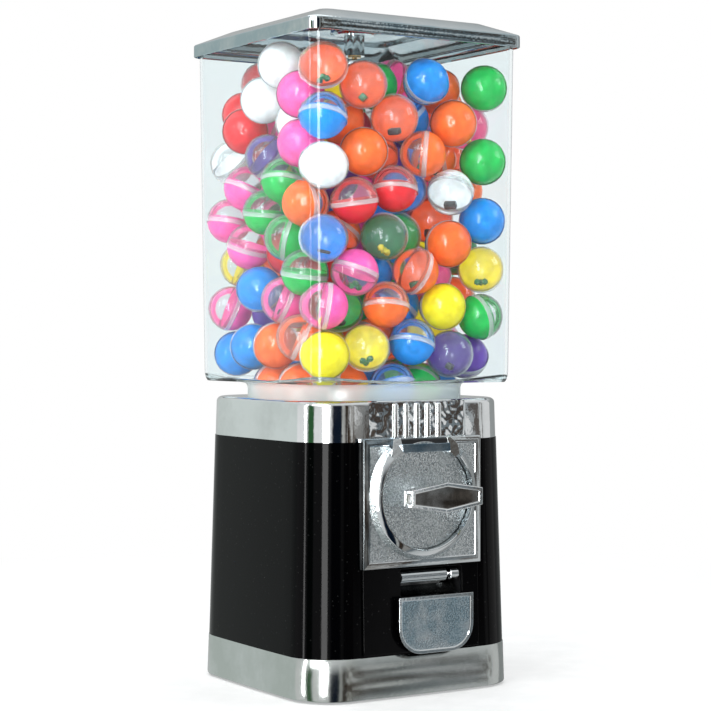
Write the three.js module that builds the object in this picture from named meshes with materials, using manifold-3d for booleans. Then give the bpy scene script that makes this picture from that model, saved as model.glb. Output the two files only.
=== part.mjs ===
// A square-globe capsule vending machine: a tapered metal body with a coin mechanism, a drop chute with
// a flap, a cash drawer at the back, and a clear globe of toy capsules under a locking lid.
// Millimetres, +Z up, front faces -Y. The origin is on the machine's axis at the underside of the base.
import * as THREE from 'three';
import { ConvexGeometry } from 'three/addons/geometries/ConvexGeometry.js';
import { mergeVertices } from 'three/addons/utils/BufferGeometryUtils.js';
import Module from 'manifold-3d';

const wasm = await Module();
wasm.setup();

// ---------------------------------------------------------------- driving dimensions
const TOUCH = 0.05; // between flat seats
const GAP = 0.3; // between pieces that are cut to one another
const RUN = 0.4; // radial clearance of what turns on or in another piece
const SLIDE = 0.6; // clearance of what slides or swings past another piece
const PAST = 1; // how far a cut runs past the face that it opens

const FOOT = { radius: 10, thickness: 1.5, stem: 3, inset: 30 };
const BODY = { half: 116.9, taper: 0.0243, corner: 42, bow: 2.5, wall: 2, height: 198.3 };
const SKIRT = { height: 39.4, wall: 2.5, deck: 3, ledge: 8, ledgeHeight: 4, edge: 1.5 };
const PLATE = { thickness: 3, boss: 14, bossHeight: 20 };
const TRIM = { height: 38.3, wall: 2, shoulder: 5, ledge: 4, ledgeDrop: 17, panel: 54.7, recess: 3 };
const RIB = { count: 5, pitch: 12.2, radius: 3.2, sunk: 0.4, margin: 3 };

const CAPSULE = { radius: 23, count: 178, inset: 0.4 };
const PILE = { core: 15, corner: 8, neckCore: 22, wall: 7, crown: 10 };
const WHEEL = {
  pockets: 4, pitch: 61.5, spare: 2.5, sink: 4, lift: 3, skin: 3, wall: 2.5, hub: 15, rim: 1.6,
};
const PINION = { teeth: 10, face: 8, tip: 3.2, root: 6.4 };
const CROWN = { tip: 3.4, root: 6.4, band: 4, inset: 2.9 };
const TOOTH = { addendum: 3.2, dedendum: 4 };
const HOUSING = { wall: 2, floor: 3, flange: 3, around: 2.5, under: 0.8 };
const OUTLET = { angle: -58, spare: 1.2, collar: 1.2, collarDrop: 10 };
const COVER = { thickness: 2, hub: 13, halfAngle: 24, above: 1.8 };
const GASKET = { thickness: 2, width: 4 };

const NECK = { radius: 105, straight: 19.6, flare: 5, flareHeight: 6 };
const GLOBE = {
  wall: 2.6, half: 113.9, topHalf: 117.9, corner: 19, height: 354, edge: 6.9, lift: 6, rise: 14,
};
const LID = {
  rim: 12.6, height: 24.6, corner: 11.5, wall: 1.8, plateau: 90, ledge: 5.5, overlap: 3, fillet: 2,
};
const LOCK = {
  barrel: 10, flange: 14, flangeHeight: 2.5, plug: 6.5, length: 22, recess: 20, sunk: 6, key: 1.6,
};
const CAM = { length: 22, width: 6, thickness: 3, stem: 2.6, drop: 8 };
const KEEPER = { radius: 16, wall: 3, height: 21, slotLength: 26, slotWidth: 9, below: 34, window: 10 };
const ROD = { radius: 4, washer: 9, washerHeight: 1.5, nut: 7, nutHeight: 5, sleeve: 7, seat: 4 };

const MECH = {
  half: 66.5, below: 67, above: 54, front: BODY.half + 5.1, border: 8, bevel: 2, field: 0.8,
  back: BODY.half - 6.9,
};
const RING = { inner: 50.6, crest: 55, crestWidth: 1.2, outer: 58.6, proud: 8, bevel: 3, sunk: 2 };
const GATE = { chord: 42, half: 26, coin: 13.2, slot: 2.9 };
const DISC = { thickness: 6, proud: 1.5, pocketDepth: 2.2 };
const LEVER = {
  length: 79, mid: 28, end: 16, depth: 14, front: BODY.half + 45.1, dish: 1.6, rim: 4, boss: 11,
};
const SPINDLE = { radius: 6, past: 2.4, bush: 9, bushLength: 8 };
const BRACKET = { half: 57, thickness: 2.5, back: BODY.half - 8.9, above: 48.5, below: 61.5, margin: 5.5 };
const BAY = { half: 47, above: 42, below: 48 };
const SCREW = { radius: 2, head: 3.8, headHeight: 2.5, bite: 4 };
const RATCHET = { teeth: 12, radius: 30, rise: 3, thickness: 3, back: BODY.half - 4.4 };
const DOG = { x: -26.5, up: 33.8, boss: 4.5, pin: 2, noseX: -29.6, noseUp: 17.6, nose: 1.4 };

const CHUTE = {
  centre: 11, width: 70, bottom: 46, under: 2, wall: 1.7, mouth: BODY.half - 0.6, straight: 19,
  fall: 49, shaftSpare: 4,
};
const SURROUND = { half: 65, lift: 1.6, proud: 2.6 };
const DOOR = {
  overlap: 7, bottom: 39.6, height: 53.4, corner: 25, front: BODY.half + 11.1, plate: 3.4, rim: 3.6,
  proud: 1,
};
const HINGE = {
  depth: BODY.half - 4.9, under: 8, barrel: 6.2, barrelLength: 52, spacer: 9, spacerRadius: 5.4, pin: 2,
};
const GOOSENECK = { thickness: 2.4, back: BODY.half - 12.9, side: 2, drop: 4.5 };
const COIN_CHUTE = {
  left: 54, right: 32, back: 20, front: BODY.half - 9.5, top: 33, drop: 38, height: 17, wall: 1.4,
};

const DRAWER = {
  half: 58, front: 8, height: 50, wall: 2, lift: 0.8, overlap: 4, panel: 2.5, panelHeight: 60,
};
const CASH_LOCK = { up: 34, barrel: 8, flange: 10.5, proud: 2, plug: 5, length: 14, cam: 27, camWidth: 9 };

const SMALL = 8; // facets of screws and pins
const MEDIUM = 14; // facets of bosses, bores and pockets
const LARGE = 32; // facets of the wheel, its housing and the disc

// ---------------------------------------------------------------- sizes that follow
const bodyHalf = (z) => BODY.half - BODY.taper * z;
const bodyFront = (z) => bodyHalf(z) + BODY.bow;
const BODY_TOP = SKIRT.height + BODY.height;
const TRIM_TOP = BODY_TOP + TRIM.height;
const LEDGE_TOP = TRIM_TOP - TRIM.ledgeDrop;
const FLANGE_TOP = LEDGE_TOP + TOUCH + HOUSING.flange;
const NECK_BASE = FLANGE_TOP + GASKET.thickness + 2 * TOUCH;
const POCKET_RADIUS = CAPSULE.radius + WHEEL.spare;
const WHEEL_HEIGHT = 2 * CAPSULE.radius - WHEEL.sink;
const WHEEL_TOP = FLANGE_TOP - 2;
const WHEEL_BASE = WHEEL_TOP - WHEEL_HEIGHT;
const FLOOR_TOP = WHEEL_BASE - WHEEL.lift;
const CROWN_INNER = WHEEL.pitch + CAPSULE.radius + CROWN.inset;
const CROWN_OUTER = CROWN_INNER + PINION.face;
const CROWN_PITCH = CROWN_INNER + PINION.face / 2;
const CROWN_ROOT = WHEEL_BASE - CROWN.band;
const PINION_PITCH = CROWN_PITCH / WHEEL.pockets;
const PITCH_LINE = CROWN_ROOT - TOOTH.dedendum;
const TROUGH_TOP = PITCH_LINE - TOOTH.addendum - HOUSING.under;
const AXIS_Z = PITCH_LINE - PINION_PITCH;
const WHEEL_RADIUS = CROWN_OUTER + WHEEL.rim;
const HOUSING_INNER = WHEEL_RADIUS + HOUSING.around;
const HOUSING_OUTER = HOUSING_INNER + HOUSING.wall;
const COVER_BASE = WHEEL_TOP + COVER.above;
const COVER_TOP = COVER_BASE + COVER.thickness;
const GLOBE_TOP = NECK_BASE + GLOBE.height;
const SHOULDER = NECK_BASE + NECK.straight + NECK.flareHeight;
const LID_BASE = GLOBE_TOP - LID.overlap;
const LID_HALF = GLOBE.topHalf + GAP + LID.wall;
const LID_TOP = LID_BASE + LID.height;
const KEEPER_TOP = LID_TOP - KEEPER.below;
const KEEPER_BASE = KEEPER_TOP - KEEPER.height;
const ROD_TOP = KEEPER_BASE + KEEPER.wall + ROD.nutHeight + 1;
const MECH_BOTTOM = AXIS_Z - MECH.below;
const MECH_TOP = AXIS_Z + MECH.above;
const DISC_FRONT = MECH.front + DISC.proud;
const CHUTE_TOP = MECH_BOTTOM - CHUTE.under;
const CHUTE_LEFT = CHUTE.centre - CHUTE.width / 2;
const CHUTE_RIGHT = CHUTE.centre + CHUTE.width / 2;
const HINGE_Z = CHUTE_TOP - HINGE.under;
const OUTLET_X = WHEEL.pitch * Math.cos(THREE.MathUtils.degToRad(OUTLET.angle));
const OUTLET_Y = WHEEL.pitch * Math.sin(THREE.MathUtils.degToRad(OUTLET.angle));
const SPINDLE_END = CROWN_INNER - SPINDLE.past;
const DRAWER_BASE = SKIRT.height + DRAWER.lift;
const DRAWER_PANEL_Y = bodyFront(SKIRT.height) + SLIDE;

// ---------------------------------------------------------------- materials
const PAINT = {
  chrome: { color: 0xd8dadb, roughness: 0.12, metalness: 1 },
  satin: { color: 0xb4b7b8, roughness: 0.3, metalness: 1 },
  zinc: { color: 0xa9adb0, roughness: 0.4, metalness: 1 },
  steel: { color: 0x8f9396, roughness: 0.35, metalness: 1 },
  brass: { color: 0xb08d57, roughness: 0.35, metalness: 1 },
  black: { color: 0x0c0c0e, roughness: 0.15, metalness: 0 },
  blackPlastic: { color: 0x17181a, roughness: 0.4, metalness: 0 },
  whitePlastic: { color: 0xd9d6cc, roughness: 0.5, metalness: 0 },
  rubber: { color: 0x1c1c1c, roughness: 0.9, metalness: 0 },
  clear: { color: 0xdfeaf0, roughness: 0.05, metalness: 0, transparent: true, opacity: 0.3 },
  capsule: { color: 0xd9532c, roughness: 0.25, metalness: 0 },
};

function material(kind) {
  return new THREE.MeshStandardMaterial(PAINT[kind]);
}

// ---------------------------------------------------------------- solids
/** A closed three.js geometry as a manifold solid that faces out. */
function solid(geometry) {
  const bare = geometry.clone();
  bare.deleteAttribute('normal');
  bare.deleteAttribute('uv');
  const merged = mergeVertices(bare, 1e-4);
  const vertProperties = new Float32Array(merged.attributes.position.array);
  const triVerts = new Uint32Array(merged.index.array);
  const made = new wasm.Manifold(new wasm.Mesh({ numProp: 3, vertProperties, triVerts }));
  if (made.volume() >= 0) return made;
  return new wasm.Manifold(new wasm.Mesh({ numProp: 3, vertProperties, triVerts: triVerts.reverse() }));
}

/** A manifold solid as a three.js geometry. */
function geometryOf(made) {
  const { numProp, numVert, vertProperties, triVerts } = made.getMesh();
  const position = new Float32Array(numVert * 3);
  for (let i = 0; i < numVert; i++) {
    position.set(vertProperties.subarray(i * numProp, i * numProp + 3), i * 3);
  }
  const geometry = new THREE.BufferGeometry();
  geometry.setAttribute('position', new THREE.BufferAttribute(position, 3));
  geometry.setIndex(new THREE.BufferAttribute(new Uint32Array(triVerts), 1));
  geometry.computeVertexNormals();
  return geometry;
}

/** Joins solids two by two, so that no join carries the whole shape. */
function join(...parts) {
  let left = parts;
  while (left.length > 1) {
    const next = [];
    for (let i = 0; i < left.length; i += 2) {
      next.push(i + 1 < left.length ? left[i].add(left[i + 1]) : left[i]);
    }
    left = next;
  }
  return left[0];
}

function cut(from, ...tools) {
  return tools.length ? from.subtract(join(...tools)) : from;
}

function box(x0, x1, y0, y1, z0, z1) {
  const geometry = new THREE.BoxGeometry(x1 - x0, y1 - y0, z1 - z0);
  return solid(geometry.translate((x0 + x1) / 2, (y0 + y1) / 2, (z0 + z1) / 2));
}

/** An upright cylinder, from z0 to z1. */
function post(radius, x, y, z0, z1, facets = MEDIUM) {
  const geometry = new THREE.CylinderGeometry(radius, radius, z1 - z0, facets).rotateX(Math.PI / 2);
  return solid(geometry.translate(x, y, (z0 + z1) / 2));
}

/** A cylinder along Y, from y0 to y1. */
function peg(radius, x, z, y0, y1, facets = MEDIUM) {
  const geometry = new THREE.CylinderGeometry(radius, radius, y1 - y0, facets);
  return solid(geometry.translate(x, (y0 + y1) / 2, z));
}

/** A cylinder along X, from x0 to x1. */
function roller(radius, y, z, x0, x1, facets = MEDIUM) {
  const geometry = new THREE.CylinderGeometry(radius, radius, x1 - x0, facets).rotateZ(Math.PI / 2);
  return solid(geometry.translate((x0 + x1) / 2, y, z));
}

/** A solid of revolution about Z, from a closed profile of [radius, z]. */
function turned(profile, facets = LARGE) {
  const points = [...profile, profile[0]].map(([r, z]) => new THREE.Vector2(r, z));
  return solid(new THREE.LatheGeometry(points, facets).rotateX(Math.PI / 2));
}

/** The same about the Y axis through (0, AXIS_Z), from a closed profile of [radius, y]. */
function turnedFront(profile, facets = LARGE) {
  const points = [...profile, profile[0]].map(([r, y]) => new THREE.Vector2(r, y));
  return solid(new THREE.LatheGeometry(points, facets).translate(0, 0, AXIS_Z));
}

function shapeOf(points) {
  return new THREE.Shape(points.map(([a, b]) => new THREE.Vector2(a, b)));
}

function extruded(points, depth) {
  return new THREE.ExtrudeGeometry(shapeOf(points), { depth, bevelEnabled: false, steps: 1 });
}

/** An outline of [x, z] carried along Y from y0 to y1. */
function plateXZ(points, y0, y1) {
  return solid(extruded(points, y1 - y0).rotateX(Math.PI / 2).translate(0, y1, 0));
}

/** An outline of [y, z] carried along X from x0 to x1. */
function plateYZ(points, x0, x1) {
  const turn = new THREE.Matrix4().makeBasis(
    new THREE.Vector3(0, 1, 0),
    new THREE.Vector3(0, 0, 1),
    new THREE.Vector3(1, 0, 0),
  );
  return solid(extruded(points, x1 - x0).applyMatrix4(turn).translate(x0, 0, 0));
}

/** The convex solid of a few corner points. */
function hull(points) {
  return solid(new ConvexGeometry(points.map(([x, y, z]) => new THREE.Vector3(x, y, z))));
}

/** The points of a rounded square whose sides bow out by bow at their middles. */
function squareOutline({ half, corner, bow = 0 }, steps = 4) {
  const straight = half - corner;
  const points = [];
  for (let side = 0; side < 4; side++) {
    const turn = (side * Math.PI) / 2;
    const local = [];
    for (let i = 0; i <= steps; i++) {
      const angle = (i / steps) * (Math.PI / 2);
      local.push([straight + corner * Math.cos(angle), straight + corner * Math.sin(angle)]);
    }
    if (bow) [0.55, 0, -0.55].forEach((share) => local.push([share * straight, half]));
    for (const [x, y] of local) {
      points.push([x * Math.cos(turn) - y * Math.sin(turn), x * Math.sin(turn) + y * Math.cos(turn)]);
    }
  }
  const bowed = (a, b) => a + bow * (a / half) * Math.max(0, 1 - (b / half) ** 2);
  return points.map(([x, y]) => [bowed(x, y), bowed(y, x)]);
}

/** A closed solid through rounded squares, from the lowest level to the highest.
 *  A level's lift raises its points where they lie further out than the radius from. */
function loft(levels, from = 0) {
  const rings = levels.map((level) => squareOutline(level));
  const geometry = new THREE.ExtrudeGeometry(shapeOf(rings[0]), {
    depth: levels.length - 1,
    steps: levels.length - 1,
    bevelEnabled: false,
  });
  const position = geometry.attributes.position;
  for (let i = 0; i < position.count; i++) {
    const at = nearest(rings[0], position.getX(i), position.getY(i));
    const level = levels[Math.round(position.getZ(i))];
    const [x, y] = rings[Math.round(position.getZ(i))][at];
    const out = Math.max(0, Math.hypot(x, y) - from);
    position.setXYZ(i, x, y, level.z + (level.lift ?? 0) * out);
  }
  return solid(geometry);
}

function nearest(points, x, y) {
  let best = 0;
  let least = Infinity;
  points.forEach(([px, py], i) => {
    const distance = (px - x) ** 2 + (py - y) ** 2;
    if (distance < least) {
      least = distance;
      best = i;
    }
  });
  return best;
}

/** The tapered body's outline at a height, moved out by an offset. */
function bodyLevel(z, offset = 0, at = z) {
  return { z, half: bodyHalf(at) + offset, corner: BODY.corner + offset, bow: BODY.bow };
}

function bodyLoft(z0, z1, offset = 0) {
  return loft([bodyLevel(z0, offset), bodyLevel(z1, offset)]);
}

// ---------------------------------------------------------------- base
function baseSkirt() {
  const outer = loft([
    bodyLevel(0, -SKIRT.edge),
    bodyLevel(SKIRT.edge),
    bodyLevel(SKIRT.height - TOUCH),
  ]);
  const seat = PLATE.thickness + TOUCH;
  const under = SKIRT.height - SKIRT.deck;
  return cut(
    outer,
    bodyLoft(-PAST, seat, -SKIRT.wall),
    bodyLoft(seat - TOUCH, seat + SKIRT.ledgeHeight, -SKIRT.ledge),
    bodyLoft(seat + SKIRT.ledgeHeight - TOUCH, under, -SKIRT.wall),
    post(ROD.radius + GAP, 0, 0, under - PAST, SKIRT.height + PAST),
  );
}

function footPlaces() {
  const at = BODY.half - FOOT.inset;
  return [[-at, -at], [at, -at], [at, at], [-at, at]];
}

function basePlate() {
  const flat = bodyLoft(0, PLATE.thickness, -SKIRT.wall - GAP);
  const boss = post(PLATE.boss, 0, 0, 0, PLATE.bossHeight);
  const bore = post(ROD.radius + GAP, 0, 0, ROD.seat, PLATE.bossHeight + PAST);
  const top = PLATE.thickness + PAST;
  const stems = footPlaces().map(([x, y]) => post(FOOT.stem + GAP, x, y, -PAST, top, SMALL));
  return cut(flat.add(boss), bore, ...stems);
}

function foot([x, y]) {
  const pad = post(FOOT.radius, x, y, -FOOT.thickness, -TOUCH);
  return pad.add(post(FOOT.stem, x, y, -FOOT.thickness / 2, PLATE.thickness, SMALL));
}

// ---------------------------------------------------------------- body
function bodyShell() {
  const outer = bodyLoft(SKIRT.height, BODY_TOP - TOUCH);
  const inner = bodyLoft(SKIRT.height - PAST, BODY_TOP + PAST, -BODY.wall);
  const clear = CHUTE.wall + SLIDE;
  const chute = box(CHUTE_LEFT - clear, CHUTE_RIGHT + clear, -BODY.half - 9, -80,
    CHUTE.bottom - clear, CHUTE_TOP + clear);
  const bay = box(-BAY.half, BAY.half, -BODY.half - 9, -80, AXIS_Z - BAY.below, AXIS_Z + BAY.above);
  const drawer = box(-DRAWER.half - SLIDE, DRAWER.half + SLIDE, 80, BODY.half + 9,
    SKIRT.height - PAST, DRAWER_BASE + DRAWER.height + SLIDE);
  return cut(outer, inner, chute, bay, drawer, ...screwPegs(SCREW.radius + GAP, BODY.half, 80));
}

function topTrim() {
  const low = TRIM_TOP - TRIM.shoulder;
  const outer = loft([
    bodyLevel(BODY_TOP),
    bodyLevel(low),
    bodyLevel(TRIM_TOP - TRIM.shoulder * 0.3, -TRIM.shoulder * 0.3),
    bodyLevel(TRIM_TOP, -TRIM.shoulder),
  ]);
  const ledgeBase = LEDGE_TOP - TRIM.ledge;
  const panelY = bodyFront(BODY_TOP) - TRIM.recess;
  const wall = TRIM.recess + TRIM.wall;
  let made = cut(
    outer,
    bodyLoft(BODY_TOP - PAST, ledgeBase, -wall),
    bodyLoft(LEDGE_TOP, TRIM_TOP - TRIM.wall, -wall),
    post(HOUSING_OUTER + GAP, 0, 0, ledgeBase - PAST, LEDGE_TOP + PAST, LARGE),
    post(NECK.radius + 1, 0, 0, LEDGE_TOP, TRIM_TOP + PAST, LARGE),
    box(-TRIM.panel, TRIM.panel, -BODY.half - 9, -panelY, BODY_TOP - PAST, TRIM_TOP + PAST),
  );
  for (let i = 0; i < RIB.count; i++) {
    const x = (i - (RIB.count - 1) / 2) * RIB.pitch;
    const y = -panelY + RIB.sunk;
    made = made.add(post(RIB.radius, x, y, BODY_TOP, TRIM_TOP - RIB.margin, SMALL));
  }
  return made;
}

// ---------------------------------------------------------------- dispensing wheel and its housing
/** The floor and wall that the wheel turns in, with a trough for the crown gear below its rim. */
function wheelHousing() {
  const { wall, floor, flange } = HOUSING;
  const step = CROWN_INNER - SLIDE * 1.5;
  const flangeOuter = NECK.radius + 1;
  const tub = turned([
    [ROD.radius + GAP, FLOOR_TOP - floor],
    [step - wall, FLOOR_TOP - floor],
    [step - wall, TROUGH_TOP - floor],
    [HOUSING_OUTER, TROUGH_TOP - floor],
    [HOUSING_OUTER, FLANGE_TOP - flange],
    [flangeOuter, FLANGE_TOP - flange],
    [flangeOuter, FLANGE_TOP],
    [HOUSING_INNER, FLANGE_TOP],
    [HOUSING_INNER, TROUGH_TOP],
    [step, TROUGH_TOP],
    [step, FLOOR_TOP],
    [ROD.radius + GAP, FLOOR_TOP],
  ]);
  const radius = CAPSULE.radius + OUTLET.spare;
  const collarBase = FLOOR_TOP - OUTLET.collarDrop - floor;
  const collar = post(radius + OUTLET.collar, OUTLET_X, OUTLET_Y, collarBase, FLOOR_TOP - 1);
  const outlet = post(radius, OUTLET_X, OUTLET_Y, TROUGH_TOP - 30, FLOOR_TOP + PAST);
  const reach = PINION_PITCH + TOOTH.addendum + SLIDE;
  const rise = TROUGH_TOP - floor - AXIS_Z;
  const halfWindow = Math.sqrt(Math.max(reach ** 2 - rise ** 2, 1)) + SLIDE;
  const window = box(-halfWindow, halfWindow, -CROWN_OUTER - SLIDE, -CROWN_INNER + SLIDE,
    TROUGH_TOP - floor - PAST, TROUGH_TOP + PAST);
  return cut(tub.add(collar), outlet, window);
}

function pocketPlaces() {
  return Array.from({ length: WHEEL.pockets }, (_, i) => {
    const angle = THREE.MathUtils.degToRad(OUTLET.angle + (360 / WHEEL.pockets) * i);
    return [WHEEL.pitch * Math.cos(angle), WHEEL.pitch * Math.sin(angle)];
  });
}

function dispensingWheel() {
  const under = WHEEL_TOP - WHEEL.skin;
  const outer = post(WHEEL_RADIUS, 0, 0, WHEEL_BASE, WHEEL_TOP, LARGE);
  const hollow = post(WHEEL_RADIUS - WHEEL.wall, 0, 0, WHEEL_BASE - PAST, under, LARGE);
  const hub = post(WHEEL.hub, 0, 0, WHEEL_BASE, WHEEL_TOP);
  const places = pocketPlaces();
  const tubes = places.map(([x, y]) => post(POCKET_RADIUS + WHEEL.wall, x, y, WHEEL_BASE, WHEEL_TOP));
  const inside = post(WHEEL_RADIUS, 0, 0, WHEEL_BASE, WHEEL_TOP, LARGE);
  const holes = places.map(([x, y]) => post(POCKET_RADIUS, x, y, WHEEL_BASE - PAST, WHEEL_TOP + PAST));
  const bore = post(ROD.sleeve + RUN, 0, 0, WHEEL_BASE - PAST, WHEEL_TOP + PAST);
  return cut(join(cut(outer, hollow), hub, ...tubes).intersect(inside), ...holes, bore);
}

/** A ring of teeth that point down, one pocket's share of them for each turn of the handle. */
function crownGear() {
  const count = PINION.teeth * WHEEL.pockets;
  const band = turned([
    [CROWN_INNER, CROWN_ROOT],
    [CROWN_OUTER, CROWN_ROOT],
    [CROWN_OUTER, WHEEL_BASE - TOUCH],
    [CROWN_INNER, WHEEL_BASE - TOUCH],
  ], count);
  const depth = TOOTH.addendum + TOOTH.dedendum;
  const profile = [
    [-CROWN.tip / 2, CROWN_ROOT - depth],
    [CROWN.tip / 2, CROWN_ROOT - depth],
    [CROWN.root / 2, CROWN_ROOT + TOUCH],
    [-CROWN.root / 2, CROWN_ROOT + TOUCH],
  ];
  const inset = SLIDE / 2;
  const tooth = plateXZ(profile, -CROWN_OUTER + inset, -CROWN_INNER - inset);
  const teeth = Array.from({ length: count }, (_, i) => tooth.rotate([0, 0, (360 / count) * (i + 0.5)]));
  return join(band, ...teeth);
}

function pocketCapsule([x, y]) {
  const ball = new THREE.SphereGeometry(CAPSULE.radius - CAPSULE.inset, 12, 8).rotateX(Math.PI / 2);
  return solid(ball.translate(x, y, FLOOR_TOP + CAPSULE.radius));
}

/** The fixed plate that keeps the capsules above the outlet from following the one that drops. */
function outletCover() {
  const half = THREE.MathUtils.degToRad(COVER.halfAngle);
  const mid = THREE.MathUtils.degToRad(OUTLET.angle);
  const reach = HOUSING_INNER * Math.cos(Math.PI / LARGE) - RUN;
  const points = [[0, 0]];
  for (let i = 0; i <= 6; i++) {
    const angle = mid - half + (i / 6) * 2 * half;
    points.push([reach * Math.cos(angle), reach * Math.sin(angle)]);
  }
  const arm = solid(extruded(points, COVER.thickness).translate(0, 0, COVER_BASE));
  const hub = post(COVER.hub, 0, 0, COVER_BASE, COVER_TOP);
  return cut(arm.add(hub), post(ROD.radius + GAP, 0, 0, COVER_BASE - PAST, COVER_TOP + PAST));
}

// ---------------------------------------------------------------- centre rod
function ringOnRod(outer, z0, z1, facets = MEDIUM) {
  return cut(post(outer, 0, 0, z0, z1, facets), post(ROD.radius + GAP, 0, 0, z0 - PAST, z1 + PAST));
}

/** The slotted cage on the rod's end that the lid's cam turns under. */
function lockKeeper() {
  const { radius, wall, slotLength, slotWidth, window } = KEEPER;
  const outer = post(radius, 0, 0, KEEPER_BASE, KEEPER_TOP, MEDIUM);
  const cavity = post(radius - wall, 0, 0, KEEPER_BASE + wall, KEEPER_TOP - wall, MEDIUM);
  const slot = box(-slotLength / 2, slotLength / 2, -slotWidth / 2, slotWidth / 2,
    KEEPER_TOP - wall - PAST, KEEPER_TOP + PAST);
  const bore = post(ROD.radius + GAP, 0, 0, KEEPER_BASE - PAST, KEEPER_BASE + wall + PAST);
  const side = box(-window / 2, window / 2, -radius - PAST, radius + PAST,
    KEEPER_BASE + wall, KEEPER_TOP - wall);
  return cut(outer, cavity, slot, bore, side);
}

// ---------------------------------------------------------------- globe and lid
/** The globe's outline, offset inwards, with its underside rising towards the corners. */
function globeLoft(offset, top) {
  const base = SHOULDER + offset;
  const slope = GLOBE.lift / 40;
  const from = NECK.radius + NECK.flare;
  const at = (z, inset, lift) => ({
    z,
    half: GLOBE.half - inset - offset,
    corner: Math.max(GLOBE.corner - offset, 4),
    lift,
  });
  const circle = NECK.radius - offset;
  const flare = (GLOBE.topHalf - GLOBE.half) / (GLOBE_TOP - SHOULDER);
  const level = (z) => GLOBE.half + flare * (z - SHOULDER);
  return loft([
    { z: base, half: circle, corner: circle - 0.5 },
    at(base + 0.4, GLOBE.edge, slope),
    at(base + GLOBE.rise * 0.16, GLOBE.edge * 0.45, slope),
    at(base + GLOBE.rise * 0.45, GLOBE.edge * 0.12, slope * 0.6),
    { ...at(base + GLOBE.rise, 0, 0), half: level(base + GLOBE.rise) - offset },
    { ...at(top, 0, 0), half: level(top) - offset },
  ], from);
}

function globe() {
  const outer = globeLoft(0, GLOBE_TOP).add(neckSolid(0, NECK_BASE, SHOULDER + 2));
  const neck = neckSolid(GLOBE.wall, NECK_BASE - PAST, SHOULDER + 2 + GLOBE.wall);
  return cut(outer, globeLoft(GLOBE.wall, GLOBE_TOP + PAST).add(neck));
}

/** The round neck that stands in the trim, flaring out into the globe's underside. */
function neckSolid(offset, z0, z1) {
  const flareBase = NECK_BASE + NECK.straight;
  const straight = NECK.radius - offset;
  const points = [[0, z0], [straight, z0], [straight, flareBase], [straight + NECK.flare, SHOULDER]];
  points.push([straight + NECK.flare, z1], [0, z1]);
  const profile = points.map(([r, z]) => new THREE.Vector2(r, z));
  return solid(new THREE.LatheGeometry(profile, LARGE).rotateX(Math.PI / 2));
}

function globeGasket() {
  const z0 = FLANGE_TOP + TOUCH;
  const outer = NECK.radius + RUN;
  return turned([
    [outer - GASKET.width, z0],
    [outer, z0],
    [outer, z0 + GASKET.thickness],
    [outer - GASKET.width, z0 + GASKET.thickness],
  ]);
}

function lid() {
  const { rim, corner, wall, plateau, ledge, overlap, fillet } = LID;
  const level = (z, half, round = corner) => ({ z, half, corner: round });
  const outer = loft([
    level(LID_BASE, LID_HALF - fillet / 2),
    level(LID_BASE + fillet / 2, LID_HALF),
    level(LID_BASE + rim - fillet, LID_HALF),
    level(LID_BASE + rim, LID_HALF - fillet),
    level(LID_TOP, plateau),
  ]);
  const seat = LID_BASE + overlap + TOUCH;
  const inner = LID_HALF - wall;
  const lip = loft([level(LID_BASE - PAST, inner), level(seat, inner)]);
  const crown = loft([
    level(seat - TOUCH, inner - ledge),
    level(LID_BASE + rim - wall, inner - ledge),
    level(LID_TOP - wall, plateau - wall),
  ]);
  const sunk = LID_TOP - LOCK.sunk;
  const cup = post(LOCK.recess + wall, 0, 0, sunk - wall, LID_TOP - wall / 2, MEDIUM);
  const dish = post(LOCK.recess, 0, 0, sunk, LID_TOP + PAST, MEDIUM);
  const bore = post(LOCK.barrel + GAP, 0, 0, sunk - wall - PAST, sunk + PAST, MEDIUM);
  return cut(cut(outer, lip, crown).add(cup), dish, bore);
}

function lidLockBarrel() {
  const sunk = LID_TOP - LOCK.sunk;
  const flange = post(LOCK.flange, 0, 0, sunk + TOUCH, sunk + LOCK.flangeHeight);
  const barrel = post(LOCK.barrel, 0, 0, sunk - LOCK.length, sunk + LOCK.flangeHeight);
  const bore = post(LOCK.plug + RUN, 0, 0, sunk - LOCK.length - PAST, LID_TOP + PAST);
  return cut(flange.add(barrel), bore);
}

/** The key plug: its crossbar passes the keeper's slot at rest and hooks under it a quarter turn on. */
function lidLockPlug() {
  const top = LID_TOP - LOCK.sunk + LOCK.flangeHeight;
  const bottom = LID_TOP - LOCK.sunk - LOCK.length - 2;
  const barBase = KEEPER_TOP - KEEPER.wall - CAM.drop;
  const plug = post(LOCK.plug, 0, 0, bottom, top);
  const stem = post(CAM.stem, 0, 0, barBase, bottom + PAST, SMALL);
  const bar = box(-CAM.length / 2, CAM.length / 2, -CAM.width / 2, CAM.width / 2,
    barBase, barBase + CAM.thickness);
  const key = box(-LOCK.plug * 0.6, LOCK.plug * 0.6, -LOCK.key / 2, LOCK.key / 2, top - 5, top + PAST);
  return cut(join(plug, stem, bar), key);
}

// ---------------------------------------------------------------- coin mechanism
function screwPlaces() {
  const x = BRACKET.half - BRACKET.margin;
  const low = AXIS_Z - BRACKET.below + BRACKET.margin;
  const high = AXIS_Z + BRACKET.above - BRACKET.margin;
  return [[-x, low], [x, low], [x, high], [-x, high]];
}

function screwPegs(radius, front, back) {
  return screwPlaces().map(([x, z]) => peg(radius, x, z, -front, -back, SMALL));
}

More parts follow.
